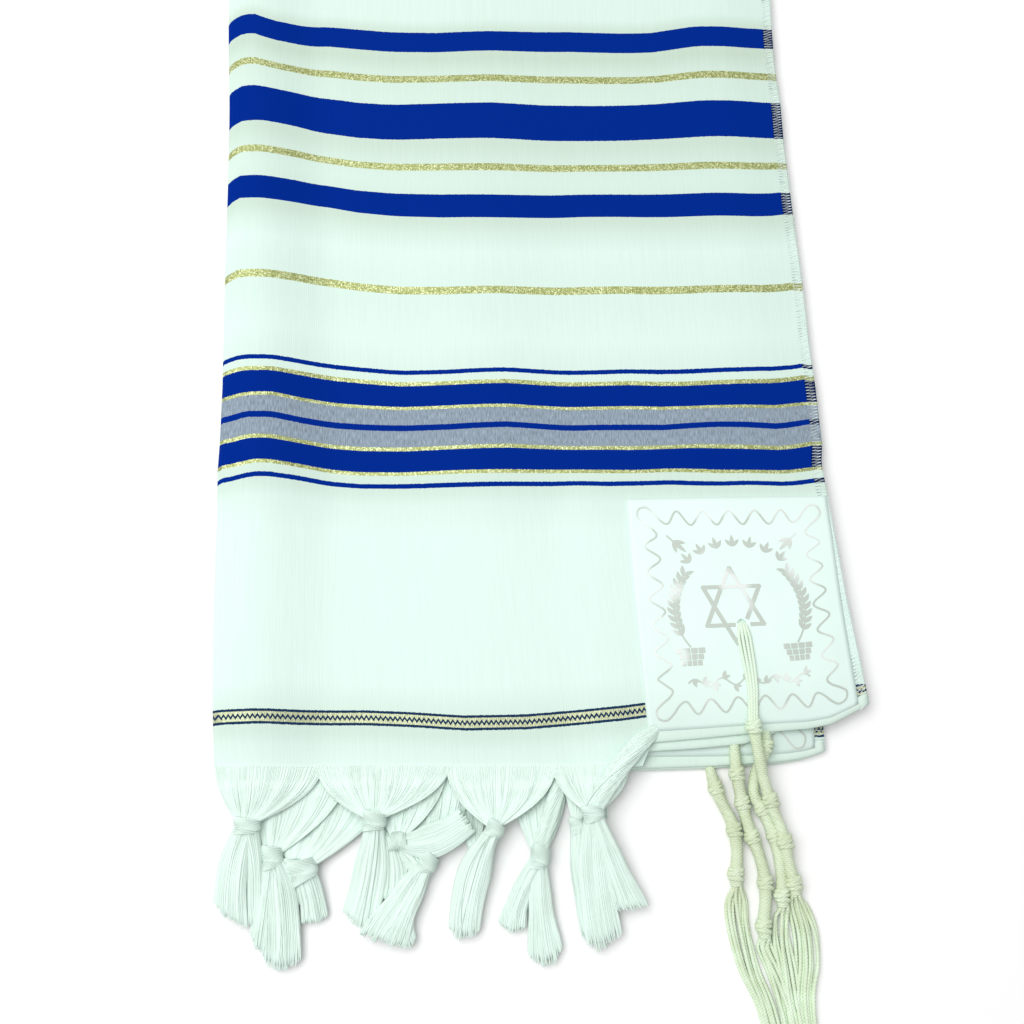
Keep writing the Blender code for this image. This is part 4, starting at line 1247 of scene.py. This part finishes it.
def lock_yarn(name, frames, turns, thick, ends, chance):
    """A lock: frames are its middle, side, up and half width at even shares of its length."""
    phase = chance.uniform(0, 2 * pi)
    last = len(frames) - 1
    slant, rounding = ends

    def surface(share, angle, raised, gather=0.0):
        lateral = cos(angle)
        share *= 1 + slant * lateral - rounding * lateral * lateral
        low = min(int(share * last), last - 1)
        between = share * last - low
        middle, side, up, half = (mix(a, b, between) for a, b in zip(*frames[low:low + 2]))
        turned = angle + 2 * pi * turns * share
        lateral = cos(turned)
        high = bezier(list(thick), share) * (1 + 0.16 * sin(6.0 * lateral + phase + 2.4 * share))
        point = middle + side * (lateral * (half + raised) + gather * half)
        point += up * (sin(turned) * (high + raised))
        return point.x, point.y, max(point.z, YARN_RADIUS)

    rings = [
        [surface(k / last * 0.97, 2 * pi * i / LOCK_SIDES, 0.0) for i in range(LOCK_SIDES)]
        for k in range(last + 1)
    ]
    body = closed_tube(f"{name}_lock", rings)
    widest = max(frame[3] for frame in frames)
    count = round((4.4 * widest + 4) / LOCK_PITCH)
    clumps = max(3, round(widest / 1.3))
    clump_ends = [chance.uniform(0.985, 1.02) for _ in range(clumps)]
    threads = []
    for index in range(count):
        angle = 2 * pi * (index + chance.uniform(-0.4, 0.4)) / count
        lateral = cos(angle)
        clump = min(int((lateral + 1) / 2 * clumps), clumps - 1)
        target = (clump + 0.5) / clumps * 2 - 1
        reach = clump_ends[clump] * chance.uniform(0.98, 1.012)
        stray = chance.random() < LOCK_STRAY
        wander = chance.uniform(-0.30, 0.30) if stray else chance.uniform(-0.06, 0.06)
        lift = chance.uniform(0.1, 0.4) if stray else chance.uniform(-0.07, 0.08)
        thread = []
        for k in range(last + 1):
            share = k / last * reach
            gather = (target - lateral) * LOCK_GATHER * share ** 3
            point = surface(share, angle + wander * sin(pi * share), lift, gather)
            thread.append((*point, 1.0 if k < last else 0.7))
        threads.append(thread)
    return body, threads


def tail_frames(knot, width, lock):
    """Frames of a lock that hangs from its knot over its bow to its end."""
    bow_x, bow_y, end_x, end_y, end_z, bow_width, end_width = lock[:7]
    start, end = Vector(knot), Vector((end_x, end_y, end_z))
    bow = Vector((bow_x, bow_y, mix(knot[2], end_z, 0.62)))
    stops = [start, bow * 2 - (start + end) / 2, end]
    frames = []
    for k in range(LOCK_CUTS + 1):
        share = k / LOCK_CUTS
        ahead = bezier(stops, share + 0.02) - bezier(stops, share - 0.02)
        side = Vector((-ahead.y, ahead.x, 0)).normalized()
        if share < 0.5:
            half = mix(width * 0.36, bow_width / 2, ease(share * 2))
        else:
            half = mix(bow_width, end_width, ease(share * 2 - 1)) / 2
        frames.append((bezier(stops, share), side, side.cross(ahead).normalized() * -1, half))
    return frames


def stream_frames(path):
    """Frames of yarn that streams along a path into a knot."""
    frames, points = [], [Vector(row) for row in path]
    for k in range(LOCK_CUTS + 1):
        share = k / LOCK_CUTS
        here, before, after = (bezier(points, share + d) for d in (0.0, -0.02, 0.02))
        side = Vector((before.y - after.y, after.x - before.x, 0)).normalized()
        frames.append((here.to_3d(), side, Vector((0, 0, 1)), here[3]))
    return frames


def knot_yarn(name, knot, width, length, ahead):
    """Two lobes of wound turns that lean against each other, over a filled middle."""
    middle, side, up = Vector(knot), Vector((-ahead.y, ahead.x, 0)), Vector((0, 0, 1))
    high = min(width, 8.4) * 0.42

    def ring(offset, lean, grow, points):
        turns = []
        for k in range(points):
            angle = 2 * pi * k / points
            point = middle + side * (width / 2 * grow * cos(angle))
            point += up * (high * grow * sin(angle))
            point += ahead * (offset + lean * width / 2 * grow * cos(angle))
            turns.append((point.x, point.y, max(point.z, YARN_RADIUS)))
        return turns

    core = closed_tube(f"{name}_knot", [
        ring((t - 0.5) * length * 0.86, 0.1, 0.90 * sin(pi * mix(0.14, 0.86, t)) ** 0.45, 18)
        for t in KNOT_CORE
    ])
    rings = []
    for place, lean, share, grow in KNOT_LOBES:
        count = max(5, round(length * share / KNOT_PITCH))
        for index in range(count):
            t = (index + 0.5) / count
            bulge = sin(pi * mix(0.10, 0.90, t)) ** 0.55
            lean_here = lean * bulge * min(1.0, length / width)
            girth = grow * mix(0.78, 1.0, bulge)
            rings.append(ring((place + (t - 0.5) * share) * length, lean_here, girth, 20))
    return core, rings


yarn = yarn_finish("white fringe yarn", YARN_LIGHT, YARN_DIM, 0.7, 0.3)
for name, layer, left, right, knot, width, length, locks in TASSELS:
    chance = Random(name)
    fan = (layer, left, right, knot, width, chance.uniform(0, 6))
    sheet, threads = fan_yarn(name, fan, chance)
    bodies, ahead = [sheet], Vector((0, 0, 0))
    bundles = [(tail_frames(knot, width, lock), 0.0, LOCK_THICK, lock[7:]) for lock in locks]
    if name in STREAMS:
        bundles.append((stream_frames(STREAMS[name]), STREAM_TURNS, STREAM_THICK, (0.0, 0.0)))
    for bundle in bundles:
        body, tail = lock_yarn(name, *bundle, chance)
        bodies.append(body)
        threads += tail
    for lock in locks:
        ahead += Vector((lock[0] - knot[0], lock[1] - knot[1], 0)).normalized()
    core, rings = knot_yarn(name, knot, width, length, ahead.normalized())
    bodies.append(core)
    wide_rings = [[(*point, 1.0) for point in ring] for ring in rings]
    closed = range(len(threads), len(threads) + len(rings))
    strands = lay_threads(f"{name}_strands", threads + wide_rings, YARN_RADIUS, yarn, closed)
    for body in bodies:
        cover(body, yarn)
    tassel = joined(f"{name}_yarn", [strands, *bodies])
    smooth(tassel)
    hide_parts(name)
    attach(tassel, "root")


# ---- The tzitzit: ivory wool cords through each corner's eyelet. From the eyelet they run side
# by side to a first double knot, then one cord winds round the rest in tight turns between more
# double knots, and eight free ends hang from the last knot.
CORD_RADIUS = 0.62
WINDING_PITCH = 0.85
TURN_POINTS = 12
STEM_THICK = 2.65             # the winding's reach; the stem is a knot where its radius is more
STEM_FLAT = (0.30, 0.06)      # how round a stem is where it leaves, and what each mm adds
STEM_CUTS = 12                # points of its middle line from stop to stop
CORE_CUTS = 4                 # of the cords inside it
CORE_START = 8                # they start this many points down, past the eyelet
CORE_INSET = 0.8
KNOT_POINTS = 16
KNOT_CORD = 1.45              # the knots' cord is thicker than the winding's
KNOT_LOOPS = (                # lean, place along the knot, and size
    (0.42, -1.0, 1.0), (-0.45, 0.9, 1.0), (0.12, 0.0, 1.04), (-0.12, 1.9, 0.88), (0.1, -1.9, 0.88),
)
FREE_CORD_RADIUS = 0.80
TZITZIT = {                   # x, y, z and radius along the stem
    "tzitzit_1": (
        (228.8, 9.6, 12.8, 3.35),
        (229.4, 5.0, 11.8, 2.55), (230.0, -0.2, 10.8, 2.55), (230.6, -5.4, 9.6, 2.55),
        (231.4, -11.0, 8.4, 2.55), (232.6, -16.0, 7.2, 2.55), (233.8, -20.8, 6.4, 3.35),
        (235.0, -25.6, 5.6, 2.55), (236.8, -31.0, 5.4, 2.55), (238.0, -37.8, 5.8, 3.4),
        (238.5, -43.0, 5.0, 2.55), (239.4, -48.6, 4.2, 2.55), (240.2, -54.2, 3.6, 3.35),
        (240.6, -59.0, 2.6, 2.45),
    ),
    "tzitzit_2": (
        (221.9, 11.0, 3.6, 2.0), (221.7, 6.8, 3.8, 2.2), (221.5, 3.0, 4.2, 2.4),
        (221.2, -1.0, 5.2, 2.55), (221.0, -9.2, 5.6, 3.25),
        (221.8, -15.6, 4.2, 2.55), (222.4, -21.2, 3.6, 3.15), (223.6, -28.2, 3.0, 2.55),
        (225.0, -35.2, 3.4, 3.25), (227.0, -41.3, 3.0, 2.55), (228.2, -48.0, 3.0, 2.55),
        (228.4, -53.6, 3.4, 3.25), (227.8, -61.0, 3.0, 2.55), (225.8, -70.2, 3.4, 3.25),
        (226.2, -74.8, 2.6, 2.45),
    ),
    "tzitzit_3": (
        (210.3, 1.0, 0.8, 2.0), (210.6, -4.4, 1.0, 2.2), (211.0, -9.0, 2.0, 2.45),
        (212.0, -14.6, 3.2, 3.2), (213.9, -20.4, 2.9, 2.55), (216.5, -26.4, 2.9, 2.55),
        (217.8, -32.0, 3.4, 3.25),
        (218.3, -40.8, 2.9, 2.55), (216.6, -49.5, 3.4, 3.35), (216.8, -54.2, 2.6, 2.45),
    ),
    "tzitzit_4": (
        (235.5, 15.0, 5.6, 2.0), (235.1, 10.4, 5.7, 2.2), (234.7, 6.0, 6.6, 2.5),
        (234.3, 1.8, 6.6, 3.15), (232.6, -3.4, 5.4, 2.55),
        (229.8, -8.4, 4.4, 2.55), (228.2, -13.4, 3.6, 2.55), (227.9, -18.4, 3.4, 2.55),
        (230.4, -24.0, 3.6, 3.1), (232.6, -29.8, 3.0, 2.55), (234.2, -35.0, 3.2, 3.0),
        (235.2, -41.0, 2.9, 2.55), (235.7, -47.0, 2.9, 2.55), (235.6, -53.0, 3.0, 2.55),
        (234.8, -58.7, 3.4, 3.25), (235.0, -63.4, 2.6, 2.45),
    ),
}
FREE_PATHS = {                # the free cords' middle on their way down and half width: x, y, w
    "tzitzit_1": ((241.8, -64.0, 3.8), (243.2, -74.0, 5.0), (242.4, -86.0, 5.2),
                  (239.6, -104.0, 4.2), (242.0, -152.0, 4.4), (250.0, -203.0, 4.6)),
    "tzitzit_2": ((225.6, -79.0, 2.7), (228.4, -88.0, 3.1), (231.6, -100.0, 3.3),
                  (233.2, -112.0, 3.4), (234.5, -160.0, 4.2), (236.0, -212.0, 4.6)),
    "tzitzit_3": ((216.2, -60.5, 4.7), (216.3, -71.0, 4.3), (218.8, -87.0, 4.0),
                  (224.4, -107.0, 3.6), (226.5, -152.0, 4.2), (228.0, -196.0, 4.6)),
    "tzitzit_4": ((234.0, -67.0, 3.0), (232.8, -76.0, 3.3), (233.4, -88.0, 3.5),
                  (234.4, -106.0, 3.4), (239.0, -157.0, 4.2), (243.4, -206.0, 4.6)),
}
FREE_CORDS = 8
FREE_CUTS = 5
FREE_ENDS = -190              # below this y the cords' lengths differ
EYELET_PATH = ((45.0, 31.0), (47.4, 17.0), (44.0, 3.6))   # on the patch, below its eyelet
EYELET_CORDS = (              # the cords of the first tzitzit: place across and height over the satin
    (-2.1, 0.0), (-0.72, 0.35), (0.72, 0.3), (2.1, 0.0),
)
EYELET_CORD = 1.22            # their thickness, to the winding's
EYELET_CUTS = 18
KNOT_MOUTH = 0.86             # from this share of their way they run into the first knot
IVORY = (0.77, 0.915, 0.725, 1)
IVORY_SHADE = (0.66, 0.78, 0.565, 1)
IVORY_PALER_ON_PATCH = (0.75, 0.89, 0.74, 1)   # paler, on the cords that lie open on the patch
TONE_START = FOLDED_LENGTH / 2 + 80   # over the wound stems the colour is a little darker and yellower
TONE_SPAN = 100.0
STEM_TONE = (0.91, 0.875, 0.835, 1)
STEM_TONES = (
    (0.0, (1, 1, 1, 1)), (0.25, STEM_TONE), (0.75, STEM_TONE), (0.90, (1, 1, 1, 1)),
)


def stem_frames(path, spacing):
    """Places along a stem at even spacing: middle, radius, ahead, side and up."""
    fine = rounded(path, STEM_CUTS)
    frames, left_over = [], 0.0
    for start, end in zip(fine, fine[1:]):
        run = (end - start).to_3d()
        ahead = run.normalized()
        side = ahead.cross(Vector((0, 0, 1))).normalized()
        at = left_over
        while at < run.length:
            here = start.lerp(end, at / run.length)
            frames.append((here.to_3d(), here[3], ahead, side, side.cross(ahead)))
            at += spacing
        left_over = at - run.length
    return frames


def winding(path):
    """One cord wound round the stem; at the knots its turns keep to the winding's reach."""
    thread = []
    for index, (middle, radius, ahead, side, up) in enumerate(
            stem_frames(path, WINDING_PITCH / TURN_POINTS)):
        angle = 2 * pi * index / TURN_POINTS
        reach = min(radius, STEM_THICK) - CORD_RADIUS
        flat = min(1.0, STEM_FLAT[0] + STEM_FLAT[1] * index * WINDING_PITCH / TURN_POINTS)
        high = reach * flat * sin(angle)
        height = max(middle.z + up.z * high, CORD_RADIUS)
        point = middle + side * (reach * cos(angle)) + up * high
        thread.append((point.x, point.y, height))
    return thread


def double_knot(middle, radius, ahead, side, up, chance):
    """Loops of cord that lean both ways round the stem, and two that cross over its front."""
    loops = []
    for lean, offset, grow in KNOT_LOOPS:
        loop = []
        for k in range(KNOT_POINTS):
            angle = 2 * pi * k / KNOT_POINTS + lean
            reach = (radius - 0.55) * grow * (1 + 0.05 * sin(2 * angle + offset * 3))
            point = middle + side * (reach * cos(angle)) + up * (reach * 0.88 * sin(angle))
            point += ahead * (offset + lean * reach * cos(angle) + chance.uniform(-0.06, 0.06))
            loop.append((point.x, point.y, max(point.z, CORD_RADIUS), KNOT_CORD))
        loops.append(loop)
    return loops


def free_cords(name, start, chance):
    """The free ends, from inside the last knot down along their path."""
    cords = []
    for index in range(FREE_CORDS):
        across = (index + 0.5) / FREE_CORDS * 2 - 1 + chance.uniform(-0.07, 0.07)
        height = FREE_CORD_RADIUS + 0.1 + (index * 5 % FREE_CORDS) / FREE_CORDS * 1.6
        drop = chance.uniform(-4, 5)
        phase, sway = chance.uniform(0, 2 * pi), chance.uniform(0.25, 0.8)
        around = Vector((1.7 * across, 0, 0.9 * sin(2.4 * index), 0))
        stops = [Vector((start.x, start.y + 2.5, start.z, 1)) + around,
                 Vector((start.x, start.y - 0.5, start.z, 1)) + around * 1.25]
        for x, y, half in FREE_PATHS[name]:
            stops.append(Vector((x + across * half, y + drop * (y < FREE_ENDS), height, 1)))
        points = rounded(stops, FREE_CUTS)
        cord = []
        for k, point in enumerate(points):
            share = k / (len(points) - 1)
            swing = sway * sin(phase + 9 * share) * ease(share * 3)
            place = (point[0] + swing, point[1], max(point[2], FREE_CORD_RADIUS))
            cord.append((*place, FREE_CORD_RADIUS / CORD_RADIUS))
        cords.append(cord)
    return cords


def eyelet_cords():
    """Cords that rise out of the eyelet and lie side by side on the satin to the first knot."""
    cords = []
    knot = Vector(TZITZIT["tzitzit_1"][0][:3])
    path = [Vector(EYELET) + Vector((0, 1.0))] + [Vector(stop) for stop in EYELET_PATH]
    for across, over in EYELET_CORDS:
        cord = []
        for k in range(EYELET_CUTS + 1):
            t = k / EYELET_CUTS
            x, y, z = patch_surface(1, *bezier(path, t))
            gather = mix(0.62, 1.15, ease(t * 6)) * mix(1.0, 0.62, ease((t - 0.15) / 0.8))
            rise = mix(-1.4, 0.95, ease(t * 14)) + over
            into = max(0.0, (t - KNOT_MOUTH) / (1 - KNOT_MOUTH))
            x, y, z = mix(x, knot.x, into), mix(y, knot.y, into), mix(z, knot.z - 1.0, into)
            cord.append((x + across * gather, y, z + rise, EYELET_CORD))
        cords.append(cord)
    return cords


def ivory_wool():
    """Plied cord: the plies lean across it, and the colour goes a little from ivory to green."""
    material, tree, shader = new_finish("ivory wool cord")
    here = own_place(tree)
    colour = mottled(tree, noise(tree, here, 120.0, 3.0, 0.6), 2.6, -0.8, IVORY, IVORY_SHADE)
    places = add_node(tree, "ShaderNodeSeparateXYZ", {0: here})
    paler_on_patch = calc(tree, "MULTIPLY_ADD", places.outputs[1], 50.0, 21.0)
    colour = blend_colour(tree, paler_on_patch, colour, IVORY_PALER_ON_PATCH)
    up = calc(tree, "MULTIPLY_ADD", places.outputs[1], 1000 / TONE_SPAN, TONE_START / TONE_SPAN)
    colour = blend_colour(tree, 1.0, colour, ramp(tree, up, STEM_TONES), "MULTIPLY")
    tree.links.new(colour, shader.inputs["Base Color"])
    bump(tree, shader, plied(tree, here, 55, 310.0, 1.0), 0.5, 0.0003)
    set_inputs(shader, {"Roughness": 0.7, "Specular IOR Level": 0.25})
    return material


ivory = ivory_wool()
for name, path in TZITZIT.items():
    chance = Random(name)
    core = [(*row[:3], (min(row[3], STEM_THICK) - CORE_INSET) / CORD_RADIUS)
            for row in rounded(path, CORE_CUTS)[CORE_START:]]
    threads = [core, winding(path)]
    loops = []
    frames = stem_frames(path, 0.5)
    for *middle, radius in path:
        if radius > STEM_THICK:
            middle = Vector(middle)
            nearest = min(frames, key=lambda entry: (entry[0] - middle).length)
            loops += double_knot(middle, radius, *nearest[2:], chance)
    threads += free_cords(name, Vector(path[-1][:3]), chance)
    if name == "tzitzit_1":
        threads += eyelet_cords()
    closed = range(len(threads), len(threads) + len(loops))
    piece = lay_threads(f"{name}_cords", threads + loops, CORD_RADIUS, ivory, closed, roundness=1)
    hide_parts(name)
    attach(piece, "root")


# ---- The studio: a plain pale table top, a wide soft light from above and a faint one all
# round, and the camera close over the near end, tilted a little up the cloth.
TABLE_SIZE = 6.0
SOFTBOX_PLACE = (-0.55, -0.1, 1.35)
SOFTBOX_AIM = (0, -0.3, 0)
SOFTBOX_SIZE = (1.6, 1.2)
SOFTBOX_POWER = 20.2
ROOM_LIGHT = 0.52
CAMERA_PLACE = (-0.0152, -0.4502, 0.4816)
CAMERA_TILT = 16.0
CAMERA_TURN = -3.0
CAMERA_LENS = 38.43

table_top = primitive("table_top", bpy.ops.mesh.primitive_plane_add, size=TABLE_SIZE)
material, tree, shader = new_finish("white table top")
set_inputs(shader, {
    "Base Color": (0.93, 0.93, 0.93, 1), "Roughness": 0.9, "Specular IOR Level": 0.0,
})
table_top.data.materials.append(material)

bpy.ops.object.light_add(type="AREA", location=SOFTBOX_PLACE)
key_light = bpy.context.object
key_light.name = "softbox"
key_light.data.shape = "RECTANGLE"
key_light.data.size, key_light.data.size_y = SOFTBOX_SIZE
key_light.data.energy = SOFTBOX_POWER
toward = Vector(SOFTBOX_AIM) - key_light.location
key_light.rotation_euler = toward.to_track_quat("-Z", "Y").to_euler()

world = bpy.data.worlds.new("studio")
world.use_nodes = True
set_inputs(world.node_tree.nodes["Background"], {"Color": (1, 1, 1, 1), "Strength": ROOM_LIGHT})
bpy.context.scene.world = world
bpy.context.scene.view_settings.view_transform = "Standard"

bpy.ops.object.camera_add(
    location=CAMERA_PLACE, rotation=(radians(CAMERA_TILT), 0, radians(CAMERA_TURN)),
)
camera = bpy.context.object
camera.name = "camera"
camera.data.lens = CAMERA_LENS
camera.data.sensor_width = 36.0
camera.data.clip_start = 0.01
bpy.context.scene.camera = camera
